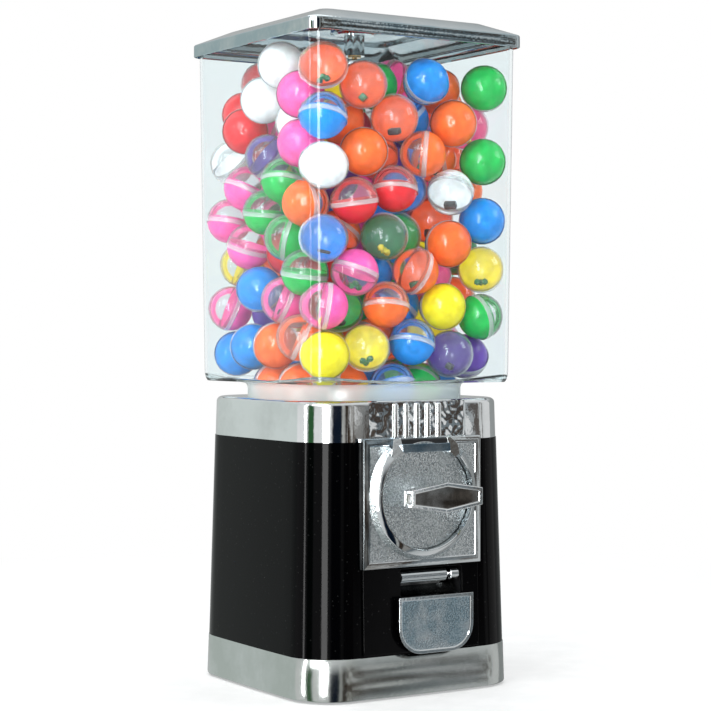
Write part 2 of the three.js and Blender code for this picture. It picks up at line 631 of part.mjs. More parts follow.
/** The cast plate with its raised ring, and the gate that the coin drops through at the top. */
function coinFaceplate() {
  const { half, front, bevel, border, field, back } = MECH;
  const rise = MECH_TOP - MECH_BOTTOM;
  const flat = new THREE.ExtrudeGeometry(
    shapeOf([
      [-half + bevel, bevel], [half - bevel, bevel],
      [half - bevel, rise - bevel], [-half + bevel, rise - bevel],
    ]),
    { depth: front - back - 2 * bevel, bevelThickness: bevel, bevelSize: bevel, bevelSegments: 1 },
  );
  const plate = solid(flat.rotateX(Math.PI / 2).translate(0, -back - bevel, MECH_BOTTOM));
  const sunken = box(-half + border, half - border, -front - PAST, -front + field,
    MECH_BOTTOM + border, MECH_TOP - border);
  const crest = front + RING.proud;
  const ring = turnedFront([
    [RING.inner, -front + RING.sunk],
    [RING.inner, -crest + RING.bevel],
    [RING.crest, -crest],
    [RING.crest + RING.crestWidth, -crest],
    [RING.outer, -front + RING.sunk],
  ]);
  const chordZ = AXIS_Z + GATE.chord;
  const above = box(-GATE.half, GATE.half, -crest - PAST, -front + RING.sunk + PAST,
    chordZ - 9, AXIS_Z + RING.outer + PAST);
  const gate = plateXZ([
    [-GATE.half - 4, chordZ - 4], [-GATE.half, chordZ],
    [GATE.half, chordZ], [GATE.half + 4, chordZ - 4],
    [GATE.half + 4, chordZ + 2], [GATE.half, MECH_TOP],
    [-GATE.half, MECH_TOP], [-GATE.half - 4, chordZ + 2],
  ], -crest + 1, -DISC_FRONT - RUN);
  const web = box(-GATE.half, GATE.half, -DISC_FRONT - RUN - 1, -front + RING.sunk + PAST,
    AXIS_Z + RING.inner + 0.5, MECH_TOP);
  const slot = box(-GATE.coin, GATE.coin, -DISC_FRONT - RUN - GATE.slot, -DISC_FRONT - RUN + 2 * PAST,
    chordZ - PAST, MECH_TOP + PAST);
  const hole = peg(RING.inner, 0, AXIS_Z, -DISC_FRONT - RUN, -80, LARGE);
  const pilots = screwPegs(SCREW.radius + GAP, front - 1.2, 80);
  const made = join(cut(plate, sunken), cut(ring, above), gate, web);
  return cut(made, slot, hole, bodyLoft(MECH_BOTTOM - 9, MECH_TOP + 9, GAP), ...pilots);
}

function coinDisc() {
  const back = DISC_FRONT - DISC.thickness;
  const radius = RING.inner - RUN;
  const disc = peg(radius, 0, AXIS_Z, -DISC_FRONT, -back, LARGE);
  const coinZ = AXIS_Z + radius - GATE.coin + 2;
  const pocket = peg(GATE.coin, 0, coinZ, -DISC_FRONT - PAST, -DISC_FRONT + DISC.pocketDepth);
  return cut(disc, pocket, peg(SPINDLE.radius + GAP, 0, AXIS_Z, -DISC_FRONT - PAST, -back + PAST));
}

function handleLever() {
  const back = LEVER.front - LEVER.depth;
  const hexagon = (inset) => {
    const end = LEVER.length / 2 - inset;
    const mid = LEVER.mid / 2 - inset;
    const tip = LEVER.end / 2 - inset * 0.6;
    const outline = [[-end, -tip], [0, -mid], [end, -tip], [end, tip], [0, mid], [-end, tip]];
    return outline.map(([x, z]) => [x, z + AXIS_Z]);
  };
  const grip = plateXZ(hexagon(0), -LEVER.front, -back);
  const dish = plateXZ(hexagon(LEVER.rim), -LEVER.front - PAST, -LEVER.front + LEVER.dish);
  const boss = peg(LEVER.boss, 0, AXIS_Z, -back - 1, -DISC_FRONT - TOUCH);
  const bore = peg(SPINDLE.radius + GAP, 0, AXIS_Z, -back - 2, -DISC_FRONT + PAST);
  return cut(join(cut(grip, dish), boss), bore);
}

function spindle() {
  return peg(SPINDLE.radius, 0, AXIS_Z, -(LEVER.front - LEVER.depth) - 1, -SPINDLE_END);
}

/** A toothed outline about (0, AXIS_Z), of [radius, angle] corners repeated for each tooth. */
function toothed(count, corners) {
  const points = [];
  for (let i = 0; i < count; i++) {
    for (const [radius, angle] of corners) {
      const a = angle + (i * 2 * Math.PI) / count;
      points.push([radius * Math.sin(a), AXIS_Z + radius * Math.cos(a)]);
    }
  }
  return points;
}

function pinion() {
  const outer = PINION_PITCH + TOOTH.addendum;
  const inner = PINION_PITCH - TOOTH.dedendum;
  const root = PINION.root / 2 / inner;
  const tip = PINION.tip / 2 / outer;
  const outline = toothed(PINION.teeth, [[inner, -root], [outer, -tip], [outer, tip], [inner, root]]);
  const gear = plateXZ(outline.reverse(), -CROWN_OUTER, -CROWN_INNER);
  return cut(gear, peg(SPINDLE.radius + GAP, 0, AXIS_Z, -CROWN_OUTER - PAST, -CROWN_INNER + PAST));
}

function ratchet() {
  const { teeth, radius, rise, thickness, back } = RATCHET;
  const step = (2 * Math.PI) / teeth;
  const outline = toothed(teeth, [[radius, 0], [radius + rise, step * 0.92]]);
  const wheel = plateXZ(outline.reverse(), -back - thickness, -back);
  return cut(wheel, peg(SPINDLE.radius + GAP, 0, AXIS_Z, -back - thickness - PAST, -back + PAST));
}

function mechBracket() {
  const { half, thickness, back, above, below } = BRACKET;
  const plate = box(-half, half, -back - thickness, -back, AXIS_Z - below, AXIS_Z + above);
  const coins = box(-COIN_CHUTE.left + 2, -COIN_CHUTE.right - 2, -back - 9, -back + 9,
    AXIS_Z - BRACKET.below + 2 * BRACKET.margin + 1, AXIS_Z - COIN_CHUTE.top - 2);
  const bush = peg(SPINDLE.bush + GAP, 0, AXIS_Z, -back - 9, -back + 9);
  const pin = peg(DOG.pin + GAP, DOG.x, AXIS_Z + DOG.up, -back - 9, -back + 9, SMALL);
  return cut(plate, coins, bush, pin, ...screwPegs(SCREW.radius + GAP, BODY.half, 80));
}

function spindleBush() {
  const front = BRACKET.back + BRACKET.thickness;
  const outer = peg(SPINDLE.bush, 0, AXIS_Z, -front, -front + SPINDLE.bushLength);
  const collar = peg(SPINDLE.bush + 2, 0, AXIS_Z, -BRACKET.back + GAP, -BRACKET.back + 2.3);
  const bore = peg(SPINDLE.radius + RUN, 0, AXIS_Z, -front - PAST, -front + SPINDLE.bushLength + PAST);
  return cut(outer.add(collar), bore);
}

function mechScrew([x, z]) {
  const tip = MECH.front - SCREW.bite;
  const shank = peg(SCREW.radius, x, z, -tip, -BRACKET.back + 1, SMALL);
  return shank.add(peg(SCREW.head, x, z, -BRACKET.back + TOUCH, -BRACKET.back + SCREW.headHeight, SMALL));
}

/** The pawl, resting just clear of the ratchet, as it does on the rim of a coin. */
function coinDog() {
  const { x, up, boss, noseX, noseUp, nose } = DOG;
  const y0 = -RATCHET.back - RATCHET.thickness + GAP;
  const y1 = -RATCHET.back - GAP;
  const z = AXIS_Z + up;
  const arm = plateXZ([
    [x - boss, z], [noseX - 1, AXIS_Z + noseUp],
    [noseX + nose, AXIS_Z + noseUp - nose], [x + 1, z - boss],
  ], y0, y1);
  const head = peg(boss, x, z, y0, y1);
  return cut(arm.add(head), peg(DOG.pin + RUN, x, z, y0 - PAST, y1 + PAST, SMALL));
}

function dogPin() {
  return peg(DOG.pin, DOG.x, AXIS_Z + DOG.up, -RATCHET.back - RATCHET.thickness, -BRACKET.back, SMALL);
}

function dogSpring() {
  const y0 = -RATCHET.back + TOUCH;
  const y1 = -BRACKET.back - BRACKET.thickness - TOUCH;
  const z = AXIS_Z + DOG.up;
  return cut(peg(DOG.boss, DOG.x, z, y0, y1), peg(DOG.pin + GAP, DOG.x, z, y0 - PAST, y1 + PAST, SMALL));
}

// ---------------------------------------------------------------- chutes
/** The ramp from under the wheel's outlet to the straight mouth, with its sides moved out by an offset. */
function rampSolid(offset, mouth) {
  const half = CAPSULE.radius + CHUTE.shaftSpare + offset;
  const left = CHUTE_LEFT - offset;
  const right = CHUTE_RIGHT + offset;
  const low = CHUTE.bottom - offset;
  const top = CHUTE_TOP + offset;
  const front = -CHUTE.mouth + CHUTE.straight;
  const back = OUTLET_Y + half;
  const ramp = hull([
    [left, front, low], [right, front, low], [left, front, top], [right, front, top],
    [OUTLET_X - half, back, low + CHUTE.fall], [OUTLET_X + half, back, low + CHUTE.fall],
    [OUTLET_X - half, back, top], [OUTLET_X + half, back, top],
  ]);
  return ramp.add(box(left, right, -mouth, front + 0.1, low, top));
}

function capsuleChute() {
  const half = CAPSULE.radius + CHUTE.shaftSpare;
  const top = FLOOR_TOP - OUTLET.collarDrop - HOUSING.floor - SLIDE;
  const shaft = (offset, z0, z1) => {
    const reach = half + offset;
    return box(OUTLET_X - reach, OUTLET_X + reach, OUTLET_Y - reach, OUTLET_Y + reach, z0, z1);
  };
  const outer = rampSolid(CHUTE.wall, CHUTE.mouth).add(shaft(CHUTE.wall, CHUTE_TOP - 9, top));
  const inner = rampSolid(0, CHUTE.mouth + PAST).add(shaft(0, CHUTE_TOP - 12, top + PAST));
  const pin = roller(HINGE.pin + GAP, -HINGE.depth, HINGE_Z, CHUTE_LEFT - 9, CHUTE_RIGHT + 9, SMALL);
  return cut(outer, inner, pin);
}

function coinChute() {
  const { left, right, back, front, top, drop, height, wall } = COIN_CHUTE;
  const points = (inset, past) => {
    const z = AXIS_Z - top - inset;
    const low = z - height + 2 * inset;
    return [
      [-left + inset, -front - past, z], [-right - inset, -front - past, z],
      [-left + inset, -front - past, low], [-right - inset, -front - past, low],
      [-left + inset, back + past, z - drop], [-right - inset, back + past, z - drop],
      [-left + inset, back + past, low - drop], [-right - inset, back + past, low - drop],
    ];
  };
  return cut(hull(points(0, 0)), hull(points(wall, PAST)));
}

function chuteSurround() {
  const low = SKIRT.height + SURROUND.lift;
  const high = MECH_BOTTOM - GAP;
  const skin = cut(bodyLoft(low, high, SURROUND.proud), bodyLoft(low - PAST, high + PAST, GAP));
  const keep = box(-SURROUND.half, SURROUND.half, -BODY.half - 9, 0, low, high);
  const mouth = box(CHUTE_LEFT, CHUTE_RIGHT, -BODY.half - 12, 0, CHUTE.bottom, CHUTE_TOP);
  return cut(skin.intersect(keep), mouth);
}

/** The flap: a round-cornered plate with a raised rim, on a gooseneck that runs back up to its hinge. */
function chuteDoor() {
  const { overlap, bottom, height, corner, front, plate, rim, proud } = DOOR;
  const top = bottom + height;
  const outline = (inset) => {
    const half = CHUTE.width / 2 + overlap - inset;
    const round = corner - inset;
    const low = bottom + inset;
    const points = [[half, top - inset], [-half, top - inset]];
    for (let i = 0; i <= 8; i++) {
      const angle = Math.PI + (i / 8) * (Math.PI / 2);
      points.push([-half + round + round * Math.cos(angle), low + round + round * Math.sin(angle)]);
    }
    for (let i = 0; i <= 8; i++) {
      const angle = 1.5 * Math.PI + (i / 8) * (Math.PI / 2);
      points.push([half - round + round * Math.cos(angle), low + round + round * Math.sin(angle)]);
    }
    return points.map(([x, z]) => [x + CHUTE.centre, z]);
  };
  const back = front - plate;
  const panel = plateXZ(outline(0), -front, -back);
  const field = plateXZ(outline(rim), -front - PAST, -front + proud);
  const { thickness, back: neckBack, side, drop } = GOOSENECK;
  const x0 = CHUTE_LEFT + side;
  const x1 = CHUTE_RIGHT - side;
  const rise = HINGE_Z - HINGE.spacerRadius - SLIDE - 2;
  const ledge = plateYZ([
    [-back - 1, top - thickness - drop], [-back - 1, top - 0.6],
    [-HINGE.depth - 8, top + 1], [-HINGE.depth, top + 3],
    [-neckBack - thickness, rise], [-neckBack, rise], [-neckBack, top],
    [-HINGE.depth + 1, top - thickness + 2], [-HINGE.depth - 6, top - thickness - 1],
  ], x0, x1);
  const riser = plateYZ([
    [-neckBack - thickness, rise - 2], [-neckBack, rise - 2], [-neckBack, HINGE_Z],
    [-neckBack - thickness, HINGE_Z],
  ], x0, x0 + HINGE.barrelLength);
  const barrel = roller(HINGE.barrel, -HINGE.depth, HINGE_Z, x0, x0 + HINGE.barrelLength);
  const lug = box(x0, x0 + HINGE.barrelLength, -HINGE.depth + 3, -neckBack - 0.5,
    HINGE_Z - 1.5, HINGE_Z + 1.5);
  const bore = roller(HINGE.pin + RUN, -HINGE.depth, HINGE_Z, x0 - PAST, x1 + PAST, SMALL);
  return cut(join(cut(panel, field), ledge, riser, barrel, lug), bore);
}

function hingePin() {
  return roller(HINGE.pin, -HINGE.depth, HINGE_Z, CHUTE_LEFT - CHUTE.wall, CHUTE_RIGHT + CHUTE.wall, SMALL);
}

function hingeSpacer() {
  const x1 = CHUTE_RIGHT - GOOSENECK.side;
  const ring = roller(HINGE.spacerRadius, -HINGE.depth, HINGE_Z, x1 - HINGE.spacer, x1);
  const bore = roller(HINGE.pin + GAP, -HINGE.depth, HINGE_Z, x1 - HINGE.spacer - PAST, x1 + PAST, SMALL);
  return cut(ring, bore);
}

// ---------------------------------------------------------------- cash drawer
function cashDrawer() {
  const { half, front, height, wall, panel, panelHeight, overlap } = DRAWER;
  const y = DRAWER_PANEL_Y;
  const tray = box(-half, half, front, y + 1, DRAWER_BASE, DRAWER_BASE + height);
  const face = box(-half - overlap, half + overlap, y, y + panel, DRAWER_BASE, DRAWER_BASE + panelHeight);
  const hollow = box(-half + wall, half - wall, front + wall, y,
    DRAWER_BASE + wall, DRAWER_BASE + height + PAST);
  const lock = peg(CASH_LOCK.barrel + GAP, 0, DRAWER_BASE + CASH_LOCK.up, y - 9, y + 9);
  return cut(cut(tray, hollow).add(face), lock);
}

function cashLockBarrel() {
  const z = DRAWER_BASE + CASH_LOCK.up;
  const outside = DRAWER_PANEL_Y + DRAWER.panel;
  const inside = outside - CASH_LOCK.length;
  const barrel = peg(CASH_LOCK.barrel, 0, z, inside, outside + CASH_LOCK.proud);
  const flange = peg(CASH_LOCK.flange, 0, z, outside + TOUCH, outside + CASH_LOCK.proud);
  return cut(barrel.add(flange), peg(CASH_LOCK.plug + RUN, 0, z, inside - PAST, outside + 9));
}

/** The drawer's key plug: its cam lies level at rest and stands behind the body's wall when locked. */
function cashLockPlug() {
  const z = DRAWER_BASE + CASH_LOCK.up;
  const outside = DRAWER_PANEL_Y + DRAWER.panel + CASH_LOCK.proud;
  const inside = DRAWER_PANEL_Y + DRAWER.panel - CASH_LOCK.length;
  const plug = peg(CASH_LOCK.plug, 0, z, inside - 3, outside);
  const cam = box(-CASH_LOCK.camWidth / 2, CASH_LOCK.cam, inside - 3, inside - SLIDE,
    z - CASH_LOCK.camWidth / 2, z + CASH_LOCK.camWidth / 2);
  const slot = CASH_LOCK.plug * 0.6;
  const key = box(-slot, slot, outside - 4, outside + PAST, z - LOCK.key / 2, z + LOCK.key / 2);
  return cut(plug.add(cam), key);
}

// ---------------------------------------------------------------- capsules
/** Centres of the loose pile: scattered, then let down and pushed apart until they rest. */
function pileCentres() {
  const { radius, count } = CAPSULE;
  const from = NECK.radius + NECK.flare;
  const shoulderTop = SHOULDER + GLOBE.wall + GAP;
  const neck = NECK.radius - GLOBE.wall - radius - GAP;
  const low = COVER_TOP + radius + 1;
  const high = GLOBE_TOP - radius + 5;
  let seed = 20261;
  const draw = () => {
    seed = (seed * 16807) % 2147483647;
    return seed / 2147483647;
  };
  const centres = [];
  for (let i = 0; i < count; i++) {
    const span = GLOBE.half - GLOBE.wall - radius;
    const x = (2 * draw() - 1) * span;
    const y = (2 * draw() - 1) * span;
    centres.push([x, y, SHOULDER + radius + draw() * (high - SHOULDER - radius)]);
  }
  const steps = 900;
  const settle = 640;
  let pairs = [];
  for (let step = 0; step < steps; step++) {
    if (step % 10 === 0) pairs = nearPairs(centres, 2 * radius + 24);
    if (step < settle) centres.forEach((c) => (c[2] -= 0.5));
    for (const [i, j] of pairs) part(centres[i], centres[j], 2 * radius + 0.1);
    for (const c of centres) contain(c, { from, shoulderTop, neck, low, high, radius });
  }
  return centres;
}

function nearPairs(centres, reach) {
  const pairs = [];
  for (let i = 0; i < centres.length; i++) {
    for (let j = i + 1; j < centres.length; j++) {
      const [dx, dy, dz] = [0, 1, 2].map((k) => centres[j][k] - centres[i][k]);
      if (dx * dx + dy * dy + dz * dz < reach * reach) pairs.push([i, j]);
    }
  }
  return pairs;
}

/** Moves two centres apart, evenly, until they are a distance apart. */
function part(a, b, distance) {
  const dx = b[0] - a[0];
  const dy = b[1] - a[1];
  const dz = b[2] - a[2];
  const square = dx * dx + dy * dy + dz * dz;
  if (square >= distance * distance || square === 0) return;
  const length = Math.sqrt(square);
  const push = (distance - length) / 2 / length;
  a[0] -= dx * push;
  a[1] -= dy * push;
  a[2] -= dz * push;
  b[0] += dx * push;
  b[1] += dy * push;
  b[2] += dz * push;
}

/** Keeps a centre inside the globe, on its underside or in its neck, and off the centre rod. */
function contain(c, { from, shoulderTop, neck, low, high, radius }) {
  const share = (c[2] - SHOULDER) / (GLOBE_TOP - SHOULDER);
  const wall = GLOBE.half + (GLOBE.topHalf - GLOBE.half) * share - GLOBE.wall - radius - GAP;
  for (const k of [0, 1]) c[k] = Math.max(-wall, Math.min(wall, c[k]));
  const corner = wall - (GLOBE.corner - GLOBE.wall) + radius;
  const ox = Math.abs(c[0]) - corner;
  const oy = Math.abs(c[1]) - corner;
  if (ox > 0 && oy > 0) {
    const out = Math.sqrt(ox * ox + oy * oy);
    const most = Math.max(GLOBE.corner - GLOBE.wall - radius, 0.01);
    if (out > most) {
      c[0] = Math.sign(c[0]) * (corner + (ox * most) / out);
      c[1] = Math.sign(c[1]) * (corner + (oy * most) / out);
    }
  }
  const across = Math.sqrt(c[0] * c[0] + c[1] * c[1]);
  const obstacle = radius + 1 + (c[2] > KEEPER_BASE - radius ? KEEPER.radius : ROD.nut);
  if (across < obstacle && across > 0) {
    c[0] *= obstacle / across;
    c[1] *= obstacle / across;
  }
  const floor = shoulderTop + (GLOBE.lift / 40) * Math.max(0, across - from) + radius;
  const rim = NECK.radius - GLOBE.wall;
  if (across >= rim) {
    c[2] = Math.max(c[2], floor);
  } else if (c[2] < shoulderTop) {
    if (across > neck) {
      c[0] *= neck / across;
      c[1] *= neck / across;
    }
  } else {
    const reach = rim - across;
    const rise = c[2] - shoulderTop;
    const gap = Math.sqrt(reach * reach + rise * rise);
    if (gap < radius && gap > 0) {
      const push = (radius - gap) / gap;
      c[0] -= (c[0] / across) * reach * push;
      c[1] -= (c[1] / across) * reach * push;
      c[2] += rise * push;
    }
  }
  c[2] = Math.max(low, Math.min(high, c[2]));
}

/** The pile as one hollow solid: the outer capsules as faceted balls, sunk in a plain core. */
function capsulePile() {
  const { core, neckCore, wall, crown } = PILE;
  const top = GLOBE_TOP - CAPSULE.radius + 5 - crown;
  const bottom = SHOULDER + core;
  const body = (inset, z0, z1) => {
    const half = GLOBE.half - GLOBE.wall - core - inset;
    return loft([{ z: z0, half, corner: PILE.corner }, { z: z1, half, corner: PILE.corner }]);
  };
  const neck = (inset, z0) => post(NECK.radius - neckCore - inset, 0, 0, z0, bottom + wall, MEDIUM);
  const ball = new THREE.IcosahedronGeometry(CAPSULE.radius - CAPSULE.inset, 0);
  const balls = pileCentres()
    .filter(([x, y, z]) => !buried(x, y, z, bottom, top))
    .map(([x, y, z]) => solid(ball.clone().translate(x, y, z)));
  const outer = join(body(0, bottom, top), neck(0, COVER_TOP + CAPSULE.radius), ...balls);
  const hollow = body(wall, bottom + wall, top - wall).add(neck(wall, COVER_TOP + CAPSULE.radius + wall));
  const bore = post(ROD.nut + PAST, 0, 0, COVER_TOP, GLOBE_TOP, SMALL);
  const cage = post(KEEPER.radius + PAST, 0, 0, KEEPER_BASE - PAST, GLOBE_TOP, MEDIUM);
  return cut(outer, hollow, bore, cage);
}

/** Whether a capsule lies wholly inside the pile's plain core. */
function buried(x, y, z, bottom, top) {
  const half = GLOBE.half - GLOBE.wall - PILE.core - CAPSULE.radius;
  const under = z > bottom + CAPSULE.radius && z < top - CAPSULE.radius;
  return under && Math.max(Math.abs(x), Math.abs(y)) < half;
}

// ---------------------------------------------------------------- assembly
const machine = new THREE.Group();

function place(name, kind, made) {
  const mesh = new THREE.Mesh(geometryOf(made), material(kind));
  mesh.name = name;
  machine.add(mesh);
}

function placeEach(name, kind, places, make) {
  places.forEach((at, i) => place(`${name}_${i + 1}`, kind, make(at)));
}

place('base_skirt', 'satin', baseSkirt());
place('base_plate', 'steel', basePlate());
placeEach('foot', 'rubber', footPlaces(), foot);
place('body_shell', 'black', bodyShell());
place('top_trim', 'chrome', topTrim());

place('wheel_housing', 'blackPlastic', wheelHousing());
place('dispensing_wheel', 'whitePlastic', dispensingWheel());
place('crown_gear', 'whitePlastic', crownGear());
placeEach('pocket_capsule', 'capsule', pocketPlaces().slice(1), pocketCapsule);
place('outlet_cover', 'steel', outletCover());

const WASHER_BASE = FLOOR_TOP + TOUCH;
const NUT_BASE = WASHER_BASE + ROD.washerHeight + TOUCH;
const SLEEVE_BASE = NUT_BASE + ROD.nutHeight + TOUCH;
place('tie_rod', 'steel', post(ROD.radius, 0, 0, ROD.seat + TOUCH, ROD_TOP, SMALL));
place('housing_washer', 'steel', ringOnRod(ROD.washer, WASHER_BASE, WASHER_BASE + ROD.washerHeight));
place('housing_nut', 'steel', ringOnRod(ROD.nut, NUT_BASE, NUT_BASE + ROD.nutHeight, 6));
place('axle_sleeve', 'brass', ringOnRod(ROD.sleeve, SLEEVE_BASE, COVER_BASE - TOUCH));
place('cover_nut', 'steel', ringOnRod(ROD.nut, COVER_TOP + TOUCH, COVER_TOP + ROD.nutHeight, 6));
place('lock_keeper', 'steel', lockKeeper());
const KEEPER_NUT_BASE = KEEPER_BASE + KEEPER.wall + TOUCH;
place('keeper_nut', 'steel', ringOnRod(ROD.nut, KEEPER_NUT_BASE, KEEPER_NUT_BASE + ROD.nutHeight, 6));

place('globe', 'clear', globe());
place('globe_gasket', 'rubber', globeGasket());
place('lid', 'chrome', lid());
place('lid_lock_barrel', 'chrome', lidLockBarrel());
place('lid_lock_plug', 'brass', lidLockPlug());

place('coin_faceplate', 'zinc', coinFaceplate());
place('coin_disc', 'zinc', coinDisc());
place('handle_lever', 'chrome', handleLever());
place('spindle', 'steel', spindle());
place('pinion', 'whitePlastic', pinion());
place('ratchet', 'steel', ratchet());
place('mech_bracket', 'steel', mechBracket());
place('spindle_bush', 'brass', spindleBush());
placeEach('mech_screw', 'steel', screwPlaces(), mechScrew);
place('coin_dog', 'steel', coinDog());
place('dog_pin', 'steel', dogPin());
place('dog_spring', 'steel', dogSpring());

place('capsule_chute', 'blackPlastic', capsuleChute());
place('coin_chute', 'blackPlastic', coinChute());
place('chute_surround', 'black', chuteSurround());
place('chute_door', 'zinc', chuteDoor());
place('hinge_pin', 'steel', hingePin());
place('hinge_spacer', 'chrome', hingeSpacer());

place('cash_drawer', 'black', cashDrawer());
place('cash_lock_barrel', 'chrome', cashLockBarrel());
place('cash_lock_plug', 'brass', cashLockPlug());
place('capsule_pile', 'capsule', capsulePile());

export default machine;
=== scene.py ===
"""The looks of a countertop capsule vending machine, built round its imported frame.

Each sub-assembly is a class: its sizes are dataclass fields in millimetres, and its methods build the meshes with
bmesh operators and dress them. Meshes are worked out in millimetres in the frame's axes and scaled to metres at
the end, so that every finished object sits at the origin.
"""

import logging
import math
from dataclasses import dataclass, field
from enum import Enum
from itertools import islice
from typing import Callable, Iterable, Iterator, Mapping, Sequence

import bmesh
import bpy
from bmesh.types import BMEdge, BMFace, BMVert
from mathutils import Matrix, Vector


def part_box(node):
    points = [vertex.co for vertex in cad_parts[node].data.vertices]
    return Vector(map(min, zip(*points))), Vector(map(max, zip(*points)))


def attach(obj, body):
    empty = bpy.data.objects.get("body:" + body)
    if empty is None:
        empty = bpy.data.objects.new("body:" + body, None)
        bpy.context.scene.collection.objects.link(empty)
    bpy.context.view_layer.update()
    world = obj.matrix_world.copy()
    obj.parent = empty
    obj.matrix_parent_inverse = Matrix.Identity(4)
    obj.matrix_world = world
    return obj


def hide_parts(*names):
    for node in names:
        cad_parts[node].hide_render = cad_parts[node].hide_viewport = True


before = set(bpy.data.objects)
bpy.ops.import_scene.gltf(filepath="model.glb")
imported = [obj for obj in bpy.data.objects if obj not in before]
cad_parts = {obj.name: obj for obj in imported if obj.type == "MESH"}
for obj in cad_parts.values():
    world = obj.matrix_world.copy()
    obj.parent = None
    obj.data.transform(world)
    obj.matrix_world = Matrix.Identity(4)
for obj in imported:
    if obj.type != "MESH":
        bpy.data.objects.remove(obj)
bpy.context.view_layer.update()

MM = 0.001
LOG = logging.getLogger("machine")
AXIS_X, AXIS_Y, AXIS_Z = Vector((1, 0, 0)), Vector((0, 1, 0)), Vector((0, 0, 1))


@dataclass(frozen=True)
class Box:
    """The lowest and highest corner of a CAD node, in millimetres."""

    low: Vector
    high: Vector

    @classmethod
    def of(cls, node: str) -> "Box":
        """The box of the CAD node with this name."""
        low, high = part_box(node)
        return cls(low / MM, high / MM)

    @property
    def middle(self) -> Vector:
        """The middle of the box."""
        return (self.low + self.high) / 2

    @property
    def size(self) -> Vector:
        """The box's length along each axis."""
        return self.high - self.low


# ------------------------------------------------------------------------------------------------ shader nodes
class Tree:
    """A node tree that is being filled."""

    def __init__(self, tree: bpy.types.NodeTree) -> None:
        """Starts from an empty tree."""
        self.tree = tree
        tree.nodes.clear()

    def add(self, kind: str, **inputs: object) -> bpy.types.Node:
        """Adds a node and sets or links its inputs.

        Args:
            kind: the node's type, without ShaderNode.
            **inputs: input names, with underscores for spaces, or i0, i1 ... for their places. A socket is linked.

        Returns:
            The new node.
        """
        node = self.tree.nodes.new(kind if kind.startswith("Node") else "ShaderNode" + kind)
        for key, value in inputs.items():
            place = int(key[1:]) if key[0] == "i" and key[1:].isdigit() else key.replace("_", " ")
            if isinstance(value, bpy.types.NodeSocket):
                self.tree.links.new(value, node.inputs[place])
            else:
                node.inputs[place].default_value = value
        return node

    def maths(self, operation: str, *values: object) -> bpy.types.NodeSocket:
        """A Math node.

        Args:
            operation: what it does.
            *values: numbers or sockets.

        Returns:
            Its value.
        """
        node = self.add("Math", **{f"i{i}": value for i, value in enumerate(values)})
        node.operation = operation
        return node.outputs[0]

    def spread(self, value: bpy.types.NodeSocket, low: float, high: float, start: float = 0.0,
               end: float = 1.0) -> bpy.types.NodeSocket:
        """Maps a range of values onto another, clamped.

        Args:
            value: the value.
            low: what it becomes at the start.
            high: what it becomes at the end.
            start: where the range starts.
            end: where it ends.

        Returns:
            The mapped value.
        """
        node = self.add("MapRange", Value=value, From_Min=start, From_Max=end, To_Min=low, To_Max=high)
        return node.outputs["Result"]

    def blend(self, share: object, first: object, second: object) -> bpy.types.NodeSocket:
        """A colour between two others.

        Args:
            share: how far it lies from the first towards the second.
            first: the first colour.
            second: the second colour.

        Returns:
            The colour.
        """
        node = self.tree.nodes.new("ShaderNodeMix")
        node.data_type = "RGBA"
        for place, value in (("Factor_Float", share), ("A_Color", first), ("B_Color", second)):
            socket = next(s for s in node.inputs if s.identifier == place)
            if isinstance(value, bpy.types.NodeSocket):
                self.tree.links.new(value, socket)
            else:
                socket.default_value = value
        return next(s for s in node.outputs if s.identifier == "Result_Color")

    def here(self) -> bpy.types.NodeSocket:
        """The object's own coordinates, in metres."""
        return self.add("TexCoord").outputs["Object"]


class Effect(Enum):
    """The shared effects. Each is one node group."""

    RIPPLE = "ripple"
    GRAIN = "grain"
    SMUDGE = "smudge"
    BRUSHED = "brushed"
    DUST = "dust"


def effect_group(effect: Effect) -> bpy.types.NodeTree:
    """The node group of an effect, built the first time that it is asked for.

    Args:
        effect: which effect.

    Returns:
        The group: all have the inputs Vector, Size and Amount, and the outputs Height and Mask.
    """
    found = bpy.data.node_groups.get(effect.value)
    if found:
        return found
    group = bpy.data.node_groups.new(effect.value, "ShaderNodeTree")
    for name, kind in (("Vector", "NodeSocketVector"), ("Size", "NodeSocketFloat"), ("Amount", "NodeSocketFloat")):
        group.interface.new_socket(name, in_out="INPUT", socket_type=kind)
    for name in ("Height", "Mask"):
        group.interface.new_socket(name, in_out="OUTPUT", socket_type="NodeSocketFloat")
    tree = Tree(group)
    given = tree.add("NodeGroupInput").outputs
    scale = tree.maths("DIVIDE", 1.0, given["Size"])
    height, mask = EFFECTS[effect](tree, given["Vector"], scale)
    height = tree.maths("MULTIPLY", height, given["Amount"])
    mask = tree.maths("MULTIPLY", mask, given["Amount"])
    tree.add("NodeGroupOutput", Height=height, Mask=mask)
    return group


def noise(tree: Tree, at: object, scale: object, detail: float = 2.0, rough: float = 0.5) -> bpy.types.NodeSocket:
    """A noise texture's value."""
    return tree.add("TexNoise", Vector=at, Scale=scale, Detail=detail, Roughness=rough).outputs["Fac"]


def ripple_effect(tree: Tree, at: object, scale: object) -> tuple:
    """The soft orange-peel waves of plating and lacquer.

    Args:
        tree: the group's tree.
        at: the coordinates that it follows.
        scale: features in a metre.

    Returns:
        The height and the mask.
    """
    wave = noise(tree, at, scale, detail=1.0)
    return wave, tree.spread(wave, 0.0, 1.0, 0.35, 0.65)


